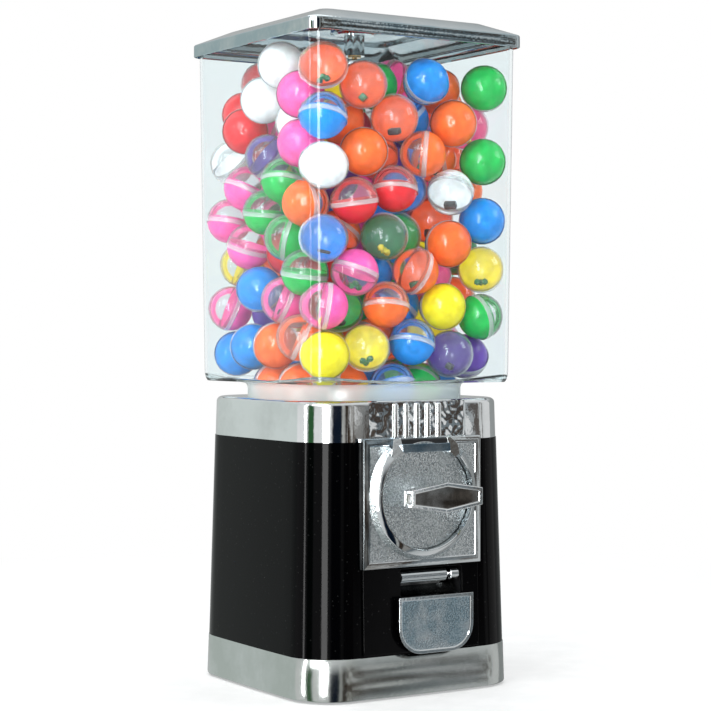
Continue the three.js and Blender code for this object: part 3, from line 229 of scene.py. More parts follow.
def grain_effect(tree: Tree, at: object, scale: object) -> tuple:
    """The close pits of a hammered casting.

    Args:
        tree: the group's tree.
        at: the coordinates that it follows.
        scale: features in a metre.

    Returns:
        The height and the mask.
    """
    pits = tree.add("TexVoronoi", Vector=at, Scale=scale, Randomness=1.0).outputs["Distance"]
    fine = noise(tree, at, tree.maths("MULTIPLY", scale, 1.7), detail=3.0, rough=0.65)
    both = tree.maths("ADD", tree.maths("MULTIPLY", pits, 0.7), fine)
    return both, tree.spread(fine, 0.0, 1.0, 0.35, 0.62)


def smudge_effect(tree: Tree, at: object, scale: object) -> tuple:
    """Broad patches of handling, with finer marks in them.

    Args:
        tree: the group's tree.
        at: the coordinates that it follows.
        scale: features in a metre.

    Returns:
        The height and the mask.
    """
    broad = noise(tree, at, scale, detail=4.0, rough=0.6)
    marks = noise(tree, at, tree.maths("MULTIPLY", scale, 9.0), detail=2.0)
    mixed = tree.maths("MULTIPLY", tree.spread(broad, 0.0, 1.0, 0.42, 0.7), tree.spread(marks, 0.4, 1.0))
    return broad, mixed


def brushed_effect(tree: Tree, at: object, scale: object) -> tuple:
    """Fine level lines, drawn out along X and Y.

    Args:
        tree: the group's tree.
        at: the coordinates that it follows.
        scale: features in a metre.

    Returns:
        The height and the mask.
    """
    drawn = tree.add("Mapping", Vector=at, Scale=(0.02, 0.02, 1.0)).outputs["Vector"]
    lines = noise(tree, drawn, scale, detail=4.0, rough=0.7)
    return lines, tree.spread(lines, 0.0, 1.0, 0.35, 0.65)


def dust_effect(tree: Tree, at: object, scale: object) -> tuple:
    """Sparse fine specks.

    Args:
        tree: the group's tree.
        at: the coordinates that it follows.
        scale: features in a metre.

    Returns:
        The height and the mask.
    """
    specks = tree.add("TexVoronoi", Vector=at, Scale=scale, Randomness=1.0).outputs["Distance"]
    return specks, tree.spread(specks, 1.0, 0.0, 0.03, 0.16)


EFFECTS: dict = {
    Effect.RIPPLE: ripple_effect,
    Effect.GRAIN: grain_effect,
    Effect.SMUDGE: smudge_effect,
    Effect.BRUSHED: brushed_effect,
    Effect.DUST: dust_effect,
}


def tone(code: str, bright: float = 1.0) -> tuple:
    """A linear colour from an rrggbb code.

    Args:
        code: the colour as it looks.
        bright: what its channels are multiplied by.

    Returns:
        Red, green, blue and alpha.
    """
    channels = [int(code[i : i + 2], 16) / 255 for i in (0, 2, 4)]
    linear = (c / 12.92 if c <= 0.04045 else ((c + 0.055) / 1.055) ** 2.4 for c in channels)
    return (*(c * bright for c in linear), 1.0)


# ------------------------------------------------------------------------------------------------ finishes
@dataclass(frozen=True)
class Finish:
    """A surface finish. Each kind fills its own material tree."""

    name: str
    slot: str

    def material(self) -> bpy.types.Material:
        """The finish's material, made once.

        Returns:
            The material.
        """
        name = f"{self.name}_finish"
        found = bpy.data.materials.get(name)
        if found:
            return found
        made = bpy.data.materials.new(name)
        made.use_nodes = True
        tree = Tree(made.node_tree)
        tree.add("OutputMaterial", Surface=self.surface(tree))
        return made

    def surface(self, tree: Tree) -> bpy.types.NodeSocket:
        """The finish's shader."""
        raise NotImplementedError

    @staticmethod
    def use(tree: Tree, effect: Effect, at: object, size: float, amount: float = 1.0) -> bpy.types.Node:
        """Places an effect's group in a material.

        Args:
            tree: the material's tree.
            effect: which effect.
            at: the coordinates that it follows.
            size: the size of its features, in metres.
            amount: how much of it there is.

        Returns:
            The group's node.
        """
        node = tree.tree.nodes.new("ShaderNodeGroup")
        node.node_tree = effect_group(effect)
        tree.tree.links.new(at, node.inputs["Vector"])
        node.inputs["Size"].default_value = size
        node.inputs["Amount"].default_value = amount
        return node

    @staticmethod
    def bump(tree: Tree, height: object, depth: float, strength: float = 1.0) -> bpy.types.NodeSocket:
        """A Bump node's normal, for waves of this depth in metres."""
        return tree.add("Bump", Height=height, Distance=depth, Strength=strength).outputs["Normal"]


@dataclass(frozen=True)
class Plated(Finish):
    """Polished or satin plating: a metal with soft waves and smudges, and brushed lines where asked."""

    colour: str = "dfe2e3"
    gloss: float = 0.05
    dull: float = 0.14
    ripple: float = 0.004
    depth: float = 0.00004
    brushed: float = 0.0

    def surface(self, tree: Tree) -> bpy.types.NodeSocket:
        """The plating's shader.

        Args:
            tree: the material's tree.

        Returns:
            The shader's socket.
        """
        at = tree.here()
        wave = self.use(tree, Effect.RIPPLE, at, self.ripple)
        smudge = self.use(tree, Effect.SMUDGE, at, 0.05)
        rough = tree.spread(smudge.outputs["Mask"], self.gloss, self.dull)
        height = wave.outputs["Height"]
        base = tree.blend(smudge.outputs["Mask"], tone(self.colour), tone("c9cccc"))
        if self.brushed:
            lines = self.use(tree, Effect.BRUSHED, at, 0.0006)
            rough = tree.maths("ADD", rough, tree.maths("MULTIPLY", lines.outputs["Mask"], self.brushed))
            height = tree.maths("ADD", height, tree.maths("MULTIPLY", lines.outputs["Height"], 0.25))
        normal = self.bump(tree, height, self.depth)
        return tree.add("BsdfPrincipled", Base_Color=base, Metallic=1.0, Roughness=rough,
                        Normal=normal).outputs["BSDF"]


@dataclass(frozen=True)
class Hammered(Finish):
    """A plated casting with a fine pitted field, and where asked a broad whitish patch that is a painted highlight."""

    colour: str = "e6ecee"
    shade: str = "8b979c"
    pit: float = 0.0019
    depth: float = 0.0004
    painted_highlight: float = 0.0

    def surface(self, tree: Tree) -> bpy.types.NodeSocket:
        """The casting's shader.

        Args:
            tree: the material's tree.

        Returns:
            The shader's socket.
        """
        at = tree.here()
        grain = self.use(tree, Effect.GRAIN, at, self.pit)
        smudge = self.use(tree, Effect.SMUDGE, at, 0.03)
        base = tree.blend(grain.outputs["Mask"], tone(self.shade), tone(self.colour))
        # A broad whitish patch mixed into the colour: a painted highlight.
        if self.painted_highlight:
            painted_highlight = self.use(tree, Effect.SMUDGE, at, 0.034, self.painted_highlight)
            base = tree.blend(painted_highlight.outputs["Mask"], base, tone("f2f6f8"))
        rough = tree.spread(smudge.outputs["Mask"], 0.24, 0.4)
        normal = self.bump(tree, grain.outputs["Height"], self.depth)
        return tree.add("BsdfPrincipled", Base_Color=base, Metallic=1.0, Roughness=rough,
                        Normal=normal).outputs["BSDF"]


@dataclass(frozen=True)
class Lacquer(Finish):
    """Black gloss paint over sheet metal, with slight orange peel, wipe marks and dust."""

    colour: str = "020203"
    gloss: float = 0.06
    dull: float = 0.16
    shine: float = 0.07

    def surface(self, tree: Tree) -> bpy.types.NodeSocket:
        """The paint's shader.

        Args:
            tree: the material's tree.

        Returns:
            The shader's socket.
        """
        at = tree.here()
        peel = self.use(tree, Effect.RIPPLE, at, 0.0035)
        smudge = self.use(tree, Effect.SMUDGE, at, 0.09)
        dust = self.use(tree, Effect.DUST, at, 0.006, 0.35)
        base = tree.blend(dust.outputs["Mask"], tone(self.colour), tone("3a3a3a"))
        rough = tree.spread(smudge.outputs["Mask"], self.gloss, self.dull)
        normal = self.bump(tree, peel.outputs["Height"], 0.00001)
        return tree.add("BsdfPrincipled", Base_Color=base, Roughness=rough, Specular_IOR_Level=self.shine,
                        Normal=normal).outputs["BSDF"]


@dataclass(frozen=True)
class Moulded(Finish):
    """A moulded plastic or rubber, with a fine texture and handling marks."""

    colour: str = "17181a"
    rough: float = 0.4
    texture: float = 0.0008
    depth: float = 0.00003

    def surface(self, tree: Tree) -> bpy.types.NodeSocket:
        """The plastic's shader.

        Args:
            tree: the material's tree.

        Returns:
            The shader's socket.
        """
        at = tree.here()
        skin = self.use(tree, Effect.GRAIN, at, self.texture)
        smudge = self.use(tree, Effect.SMUDGE, at, 0.04)
        lighter = tuple(min(1.0, c * 1.25 + 0.01) for c in tone(self.colour)[:3]) + (1.0,)
        base = tree.blend(smudge.outputs["Mask"], tone(self.colour), lighter)
        rough = tree.spread(smudge.outputs["Mask"], self.rough, min(1.0, self.rough + 0.15))
        normal = self.bump(tree, skin.outputs["Height"], self.depth)
        return tree.add("BsdfPrincipled", Base_Color=base, Roughness=rough, Normal=normal).outputs["BSDF"]


@dataclass(frozen=True)
class PaleFloor(Moulded):
    """The studio floor, which fades into the white behind it."""

    near: float = 0.3
    far: float = 1.1

    def surface(self, tree: Tree) -> bpy.types.NodeSocket:
        """The floor's shader.

        Args:
            tree: the material's tree.

        Returns:
            The shader's socket.
        """
        reach = tree.add("VectorMath", i0=tree.here())
        reach.operation = "LENGTH"
        share = tree.spread(reach.outputs["Value"], 0.35, 1.0, self.near, self.far)
        white = tree.add("Emission", Color=(1.0, 1.0, 1.0, 1.0), Strength=1.0).outputs[0]
        return tree.add("MixShader", i0=share, i1=super().surface(tree), i2=white).outputs[0]


@dataclass(frozen=True)
class GlossShell(Finish):
    """The coloured half of a capsule: smooth thin plastic with a little subsurface scattering, and a faint emission
    that is painted light.
    """

    colour: str = "f07028"
    painted_glow: float = 0.06

    def surface(self, tree: Tree) -> bpy.types.NodeSocket:
        """The half's shader.

        Args:
            tree: the material's tree.

        Returns:
            The shader's socket.
        """
        at = tree.here()
        smudge = self.use(tree, Effect.SMUDGE, at, 0.012)
        flow = self.use(tree, Effect.RIPPLE, at, 0.009)
        base = tree.blend(flow.outputs["Mask"], tone(self.colour, 0.82), tone(self.colour))
        rough = tree.spread(smudge.outputs["Mask"], 0.12, 0.3)
        # The emission in the half's own colour is painted light.
        made = tree.add("BsdfPrincipled", Base_Color=base, Roughness=rough, IOR=1.45, Subsurface_Weight=0.25,
                        Subsurface_Scale=0.004, Subsurface_Radius=(1.0, 0.6, 0.4),
                        Emission_Color=base, Emission_Strength=self.painted_glow)
        return made.outputs["BSDF"]


@dataclass(frozen=True)
class ThinClear(Finish):
    """A clear shell about a millimetre thick, as a film that shines by its angle and is faintly milky."""

    milk: float = 0.06
    colour: str = "f2f5f6"

    def surface(self, tree: Tree) -> bpy.types.NodeSocket:
        """The shell's shader.

        Args:
            tree: the material's tree.

        Returns:
            The shader's socket.
        """
        at = tree.here()
        smudge = self.use(tree, Effect.SMUDGE, at, 0.01)
        rough = tree.spread(smudge.outputs["Mask"], 0.04, 0.16)
        through = tree.add("BsdfTransparent", Color=tone(self.colour)).outputs[0]
        body = tree.add("BsdfPrincipled", Base_Color=tone(self.colour), Roughness=rough).outputs["BSDF"]
        shine = tree.add("BsdfAnisotropic", Color=(1.0, 1.0, 1.0, 1.0), Roughness=rough).outputs[0]
        facing = tree.add("LayerWeight", Blend=0.3).outputs["Facing"]
        haze = tree.spread(facing, self.milk, min(0.9, self.milk + 0.3), 0.25, 1.0)
        milky = tree.add("MixShader", i0=haze, i1=through, i2=body).outputs[0]
        edge = tree.add("Fresnel", IOR=1.45).outputs[0]
        return tree.add("MixShader", i0=edge, i1=milky, i2=shine).outputs[0]


@dataclass(frozen=True)
class ThickClear(Finish):
    """Clear moulded plastic with a real wall, which lets lamps through to what is behind it."""

    colour: str = "f4fafb"
    rough: float = 0.0
    ior: float = 1.28
    clear: float = 1.0

    def surface(self, tree: Tree) -> bpy.types.NodeSocket:
        """The plastic's shader.

        Args:
            tree: the material's tree.

        Returns:
            The shader's socket.
        """
        at = tree.here()
        wave = self.use(tree, Effect.RIPPLE, at, 0.03)
        normal = self.bump(tree, wave.outputs["Height"], 0.00006)
        glass = tree.add("BsdfPrincipled", Base_Color=tone(self.colour), Roughness=self.rough, IOR=self.ior,
                         Transmission_Weight=self.clear, Normal=normal).outputs["BSDF"]
        through = tree.add("BsdfTransparent", Color=tone(self.colour)).outputs[0]
        lamp = tree.add("LightPath").outputs["Is Shadow Ray"]
        return tree.add("MixShader", i0=lamp, i1=glass, i2=through).outputs[0]


CHROME = Plated("chrome", "chrome_trim")
LID_CHROME = Plated("lid_chrome", "chrome_trim", colour="9fb0b6", ripple=0.0036, depth=0.00007, dull=0.1)
PANEL_CHROME = Plated("panel_chrome", "chrome_trim", ripple=0.014, depth=0.0009, gloss=0.03, dull=0.08)
SATIN = Plated("satin_plate", "satin_base", colour="b4b9b6", gloss=0.12, dull=0.2, brushed=0.04)
DIE_CAST = Plated("polished_casting", "hammered_zinc", colour="c6cbcd", gloss=0.06, dull=0.16)
# A near-black copy of the casting: painted shade on the rear of the flap's neck.
NECK_SHADE = Plated("neck_painted_shade", "hammered_zinc", colour="16191b", gloss=0.2, dull=0.3)
# A darker copy of the casting: a painted reflection on the faceplate's left border.
LEFT_BORDER_REFLECTION = Plated("left_border_painted_reflection", "hammered_zinc", colour="4e585d", gloss=0.08, dull=0.18)
# A bluish copy of the casting: a painted reflection on the upper border and the gate's sill.
BLUISH_REFLECTION = Plated("bluish_painted_reflection", "hammered_zinc", colour="6f8796", gloss=0.1, dull=0.2)
# A darker copy of the chrome: painted shade in the lever's dished face and end recesses.
LEVER_SHADE = Plated("lever_painted_shade", "chrome_trim", colour="5c5650", gloss=0.14, dull=0.26)
ZINC = Hammered("hammered_zinc", "hammered_zinc")
# The flap's casting carries a broad painted highlight.
FLAP_ZINC = Hammered("hammered_flap", "hammered_zinc", colour="bfd3dd", shade="7393a3", pit=0.0022, depth=0.0002,
                     painted_highlight=1.1)
STEEL = Plated("polished_steel", "polished_steel", colour="b4b7ba", gloss=0.2, dull=0.34, brushed=0.06)
BRASS = Plated("turned_brass", "brass", colour="c9a564", gloss=0.16, dull=0.3)
BLACK = Lacquer("black_lacquer", "black_body")
SURROUND_BLACK = Lacquer("black_moulding", "black_surround", colour="030304", gloss=0.1, dull=0.22)
BLACK_PLASTIC = Moulded("black_plastic", "black_plastic")
WHITE_PLASTIC = Moulded("white_plastic", "white_plastic", colour="e2dfd6", rough=0.45)
RUBBER = Moulded("black_rubber", "rubber", colour="141414", rough=0.75, texture=0.0015)
CLEAR = ThickClear("clear_wall", "clear_globe")
# A rough, partly milky copy of the clear wall for the neck: its whiteness is a painted reflection.
NECK_PAINTED_REFLECTION = ThickClear("neck_painted_reflection", "clear_globe", colour="eef3f2", rough=0.22, ior=1.5,
                        clear=0.6)
CLEAR_HALF = ThinClear("clear_half", "capsules_mixed", milk=0.05)
CLEAR_LIP = ThinClear("clear_lip", "capsules_mixed", milk=0.3)


class Colour(Enum):
    """The capsules' colours."""

    ORANGE = "f2682a"
    PINK = "ee5aa6"
    BLUE = "1583d6"
    YELLOW = "ecd91f"
    GREEN = "17ad4c"
    FOREST = "15703c"
    WHITE = "f0f1f2"
    RED = "d8232c"
    PURPLE = "5a3a96"

    def finish(self) -> GlossShell:
        """The finish of a half in this colour."""
        return GlossShell("capsule_" + self.name.lower(), "capsules_mixed", self.value)

    def inside(self) -> GlossShell:
        """The finish of the inside of a half, with a stronger emission: painted light that stands in for the light
        coming through the wall.
        """
        return GlossShell("inside_" + self.name.lower(), "capsules_mixed", self.value, painted_glow=0.4)


# ------------------------------------------------------------------------------------------------ shapes
def only(kind: type, geometry: Iterable[object]) -> list:
    """The elements of one kind among what an operator gives back."""
    return [g for g in geometry if isinstance(g, kind)]


def runs_along(axis: int) -> Callable[[BMEdge], bool]:
    """A test for the edges that run along an axis."""
    return lambda e: abs(e.verts[0].co[axis] - e.verts[1].co[axis]) > 1


class Shape:
    """A mesh in millimetres, shaped with bmesh operators."""

    def __init__(self) -> None:
        """Starts empty."""
        self.bm = bmesh.new()

    def cube(self, low: Sequence[float], high: Sequence[float]) -> list[BMVert]:
        """A box between two corners.

        Args:
            low: the lowest corner.
            high: the highest one.

        Returns:
            The box's vertices.
        """
        made = bmesh.ops.create_cube(self.bm, size=1)["verts"]
        low, high = Vector(low), Vector(high)
        bmesh.ops.scale(self.bm, vec=high - low, verts=made)
        bmesh.ops.translate(self.bm, vec=(low + high) / 2, verts=made)
        return made

    def edges_of(self, verts: Iterable[BMVert], wanted: Callable[[BMEdge], bool]) -> list[BMEdge]:
        """The edges among some vertices that pass a test.

        Args:
            verts: the vertices.
            wanted: the test.

        Returns:
            The edges, in the mesh's order.
        """
        inside = set(verts)
        found = {e for v in inside for e in v.link_edges if all(w in inside for w in e.verts)}
        return [e for e in sorted(found, key=lambda e: e.index) if wanted(e)]

    def faces_of(self, verts: Iterable[BMVert]) -> list[BMFace]:
        """The faces that touch these vertices."""
        return list({f for v in verts for f in v.link_faces})

    def bevel(self, edges: Sequence[BMEdge], width: float, segments: int = 3) -> list[BMFace]:
        """Rounds some edges.

        Args:
            edges: the edges.
            width: the radius of the round.
            segments: segments across it.

        Returns:
            The round's faces.
        """
        made = bmesh.ops.bevel(self.bm, geom=list(edges), offset=width, offset_type="OFFSET", segments=segments,
                               profile=0.5, affect="EDGES", material=-1, clamp_overlap=True)
        return made["faces"]

    def square_ring(self, half: float, corner: float, z: float, bow: float = 0.0, segments: int = 10,
                    columns: int = 11) -> list[BMEdge]:
        """A level ring: a rounded square whose sides bow out.

        Args:
            half: half the distance between two sides, without the bow.
            corner: the radius of its corners.
            z: its height.
            bow: how far the middle of each side stands out.
            segments: segments in each corner.
            columns: cuts in each side.

        Returns:
            The ring's edges.
        """
        made = bmesh.ops.create_grid(self.bm, x_segments=1, y_segments=1, size=half)["verts"]
        bmesh.ops.translate(self.bm, vec=(0, 0, z), verts=made)
        before = set(self.bm.verts) - set(made)
        bmesh.ops.bevel(self.bm, geom=made, offset=corner, offset_type="OFFSET", segments=segments, profile=0.5,
                        affect="VERTICES", material=-1)
        verts = [v for v in self.bm.verts if v not in before]
        longest = self.edges_of(verts, lambda e: e.calc_length() > 1.5 * (half - corner))
        bmesh.ops.subdivide_edges(self.bm, edges=longest, cuts=columns)
        verts = [v for v in self.bm.verts if v not in before]
        for v in verts:
            x, y = v.co.x, v.co.y
            v.co.x += bow * (x / half) * max(0.0, 1 - (y / half) ** 2)
            v.co.y += bow * (y / half) * max(0.0, 1 - (x / half) ** 2)
        bmesh.ops.delete(self.bm, geom=self.faces_of(verts), context="FACES_ONLY")
        return self.edges_of(verts, lambda e: True)

    def circle(self, radius: float, z: float, steps: int = 64) -> list[BMEdge]:
        """A level circle.

        Args:
            radius: its radius.
            z: its height.
            steps: its sides.

        Returns:
            The circle's edges.
        """
        made = bmesh.ops.create_circle(self.bm, segments=steps, radius=radius)["verts"]
        bmesh.ops.translate(self.bm, vec=(0, 0, z), verts=made)
        return self.edges_of(made, lambda e: True)

    def rise(self, ring: Sequence[BMEdge], share: float, z: float) -> list[BMEdge]:
        """Carries a level ring on to another height.

        Args:
            ring: the ring's edges.
            share: the new ring's size as a share of the old one's.
            z: the new ring's height.

        Returns:
            The new ring's edges.
        """
        made = bmesh.ops.extrude_edge_only(self.bm, edges=list(ring))["geom"]
        verts = only(BMVert, made)
        bmesh.ops.scale(self.bm, vec=(share, share, 1), verts=verts)
        bmesh.ops.translate(self.bm, vec=(0, 0, z - verts[0].co.z), verts=verts)
        return only(BMEdge, made)

    def stack(self, ring: Sequence[BMEdge], size: float, stops: Iterable[tuple[float, float]]) -> list[BMEdge]:
        """Carries a level ring through a run of sizes and heights.

        Args:
            ring: the ring's edges.
            size: its size, such as a radius.
            stops: each following size, with its height.

        Returns:
            The last ring's edges.
        """
        for after, z in stops:
            ring = self.rise(ring, after / size, z)
            size = after
        return ring

    def bridge(self, first: Sequence[BMEdge], second: Sequence[BMEdge]) -> list[BMFace]:
        """Joins two rings with faces."""
        return bmesh.ops.bridge_loops(self.bm, edges=[*first, *second])["faces"]

    def spun(self, profile: Sequence[tuple], axis: Vector, out: Vector, centre: Sequence[float] = (0, 0, 0),
             steps: int = 48, closed: bool = False, span: tuple = (0.0, 360.0)) -> list[BMVert]:
        """Turns a profile about an axis.

        Args:
            profile: its points, as (distance from the axis, place along it).
            axis: the axis's direction.
            out: the direction in which the profile is drawn.
            centre: a point on the axis.
            steps: steps in the turn.
            closed: whether the last point joins the first.
            span: where the turn starts and ends, in degrees.

        Returns:
            The new vertices.
        """
        before = set(self.bm.verts)
        middle = Vector(centre)
        start = Matrix.Rotation(math.radians(span[0]), 3, axis) @ out
        verts = [self.bm.verts.new(middle + start * r + axis * h) for r, h in profile]
        ends = list(zip(verts, verts[1:])) + ([(verts[-1], verts[0])] if closed else [])
        edges = [self.bm.edges.new(pair) for pair in ends]
        whole = math.isclose(span[1] - span[0], 360.0)
        bmesh.ops.spin(self.bm, geom=verts + edges, cent=middle, axis=axis, dvec=(0, 0, 0),
                       angle=math.radians(span[1] - span[0]), steps=steps, use_merge=whole, use_duplicate=False)
        made = [v for v in self.bm.verts if v not in before]
        bmesh.ops.remove_doubles(self.bm, verts=made, dist=1e-3)
        made = [v for v in made if v.is_valid]
        if closed and not whole:
            loose = [e for v in made for e in v.link_edges if e.is_boundary]
            bmesh.ops.holes_fill(self.bm, edges=list(set(loose)), sides=0)
        bmesh.ops.recalc_face_normals(self.bm, faces=self.faces_of(made))
        return made

    def window(self, low: Sequence[float], high: Sequence[float]) -> None:
        """Opens the skin inside a box, with clean edges along X and Z.

        Args:
            low: the box's lowest corner.
            high: its highest corner.
        """
        for axis in (0, 2):
            for place in (low[axis], high[axis]):
                self.slice(axis, place)
        inside = [f for f in self.bm.faces
                  if all(low[k] < f.calc_center_median()[k] < high[k] for k in range(3))]
        bmesh.ops.delete(self.bm, geom=inside, context="FACES")

    def slice(self, axis: int, place: float) -> None:
        """Cuts every face along a plane across an axis.

        Args:
            axis: the axis's number.
            place: where on it the plane lies.
        """
        normal = Vector([float(k == axis) for k in range(3)])
        geom = [*self.bm.verts, *self.bm.edges, *self.bm.faces]
        bmesh.ops.bisect_plane(self.bm, geom=geom, plane_co=normal * place, plane_no=normal, dist=1e-4)

    def push(self, faces: Sequence[BMFace], move: Sequence[float]) -> list[BMFace]:
        """Extrudes a region of faces and moves it.

        Args:
            faces: the region.
            move: how far it moves.

        Returns:
            The moved faces.
        """
        made = bmesh.ops.extrude_face_region(self.bm, geom=list(faces))["geom"]
        bmesh.ops.delete(self.bm, geom=[f for f in faces if f.is_valid], context="FACES_ONLY")
        bmesh.ops.translate(self.bm, vec=move, verts=only(BMVert, made))
        return only(BMFace, made)

    def recess(self, face: BMFace, rim: float, slope: float, depth: float) -> None:
        """Sinks a face inside a rim.

        Args:
            face: the face.
            rim: the rim's width.
            slope: the width of the slope from the rim to the face.
            depth: how deep the face lies.
        """
        for width, down in ((rim, 0.0), (slope, -depth)):
            bmesh.ops.inset_region(self.bm, faces=[face], thickness=width, depth=down, use_even_offset=True)

    def stamp(self, mesh: bpy.types.Mesh, turn: Matrix, finish: int = -1) -> None:
        """Adds a turned copy of a mesh.

        Args:
            mesh: the mesh.
            turn: how the copy is turned and moved.
            finish: the copy's place among the finishes, or -1 to keep the mesh's own.
        """
        copy = mesh.copy()
        copy.transform(turn)
        if finish >= 0:
            copy.polygons.foreach_set("material_index", [finish] * len(copy.polygons))
        self.bm.from_mesh(copy)
        bpy.data.meshes.remove(copy)

    def template(self, name: str) -> bpy.types.Mesh:
        """Ends the shape as a mesh for stamping.

        Args:
            name: the mesh's name.

        Returns:
            The mesh.
        """
        mesh = bpy.data.meshes.new(name)
        self.bm.to_mesh(mesh)
        self.bm.free()
        return mesh

    def tilt(self, verts: Sequence[BMVert], angle: float, axis: str, centre: Sequence[float]) -> None:
        """Turns vertices about a point.

        Args:
            verts: the vertices.
            angle: how far, in degrees.
            axis: the axis's letter.
            centre: the point.
        """
        turn = Matrix.Rotation(math.radians(angle), 3, axis)
        bmesh.ops.rotate(self.bm, cent=centre, matrix=turn, verts=list(verts))

    def facing(self, direction: Sequence[float], beyond: float = 0.9) -> list[BMFace]:
        """The faces that face a direction.

        Args:
            direction: a vector of length one.
            beyond: how squarely they face it, up to 1.

        Returns:
            The faces.
        """
        toward = Vector(direction)
        self.bm.normal_update()
        return [f for f in self.bm.faces if f.normal.dot(toward) > beyond]

    def broadest(self, direction: Sequence[float]) -> BMFace:
        """The largest of the faces that squarely face a direction."""
        return max(self.facing(direction, 0.99), key=lambda f: f.calc_area())

    def paint(self, place: int, wanted: Callable[[BMFace], bool]) -> None:
        """Gives the faces that pass a test another of the piece's finishes.

        Args:
            place: the finish's place in the piece's list.
            wanted: the test.
        """
        for f in self.bm.faces:
            if wanted(f):
                f.material_index = place

    def tint(self, verts: Iterable[BMVert], place: int) -> None:
        """Gives the faces that touch some vertices another of the piece's finishes."""
        for f in self.faces_of(verts):
            f.material_index = place

    def piece(self, name: str, body: str, finishes: Sequence[Finish], replaced: Sequence[str] = (),
              wall: float = 0.0, edge: float = 0.0, crease: float = 32.0, tidy: bool = True) -> bpy.types.Object:
        """Makes the shape a finished piece that rides on a body.

        Args:
            name: the piece's name.
            body: the CAD body that it moves with.
            finishes: its finishes, in the order of the faces' places.
            replaced: the CAD nodes that it stands for.
            wall: the thickness that the skin gets inwards, or 0.
            edge: how far sharp edges are rounded, or 0.
            crease: the angle in degrees past which an edge stays sharp.
            tidy: whether doubles are merged and the faces turned outwards.

        Returns:
            The piece's object.
        """
        if tidy:
            bmesh.ops.remove_doubles(self.bm, verts=self.bm.verts, dist=1e-3)
            bmesh.ops.recalc_face_normals(self.bm, faces=self.bm.faces)
        self.bm.normal_update()
        for e in self.bm.edges:
            e.smooth = len(e.link_faces) == 2 and e.calc_face_angle(0) < math.radians(crease)
        for f in self.bm.faces:
            f.smooth = True
        bmesh.ops.scale(self.bm, vec=(MM, MM, MM), verts=self.bm.verts)
        mesh = bpy.data.meshes.new(name)
        self.bm.to_mesh(mesh)
        self.bm.free()
        for finish in finishes:
            mesh.materials.append(finish.material())
        made = bpy.data.objects.new(name, mesh)
        bpy.context.scene.collection.objects.link(made)
        if wall:
            solid = made.modifiers.new("wall", "SOLIDIFY")
            solid.thickness = wall * MM
            solid.offset = -1.0
        if edge:
            rounded = made.modifiers.new("edge", "BEVEL")
            rounded.width = edge * MM
            rounded.segments = 2
            rounded.limit_method = "ANGLE"
            rounded.angle_limit = math.radians(crease)
        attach(made, body)
        if replaced:
            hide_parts(*replaced)
        LOG.info("%s: %d faces on %s", name, len(mesh.polygons), body)
        return made


def dress(finish: Finish, *nodes: str) -> None:
    """Gives CAD nodes a finish.

    Args:
        finish: the finish.
        *nodes: the nodes' names.
    """
    for node in nodes:
        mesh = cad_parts[node].data
        mesh.materials.clear()
        mesh.materials.append(finish.material())
        LOG.info("%s: %s", node, finish.name)


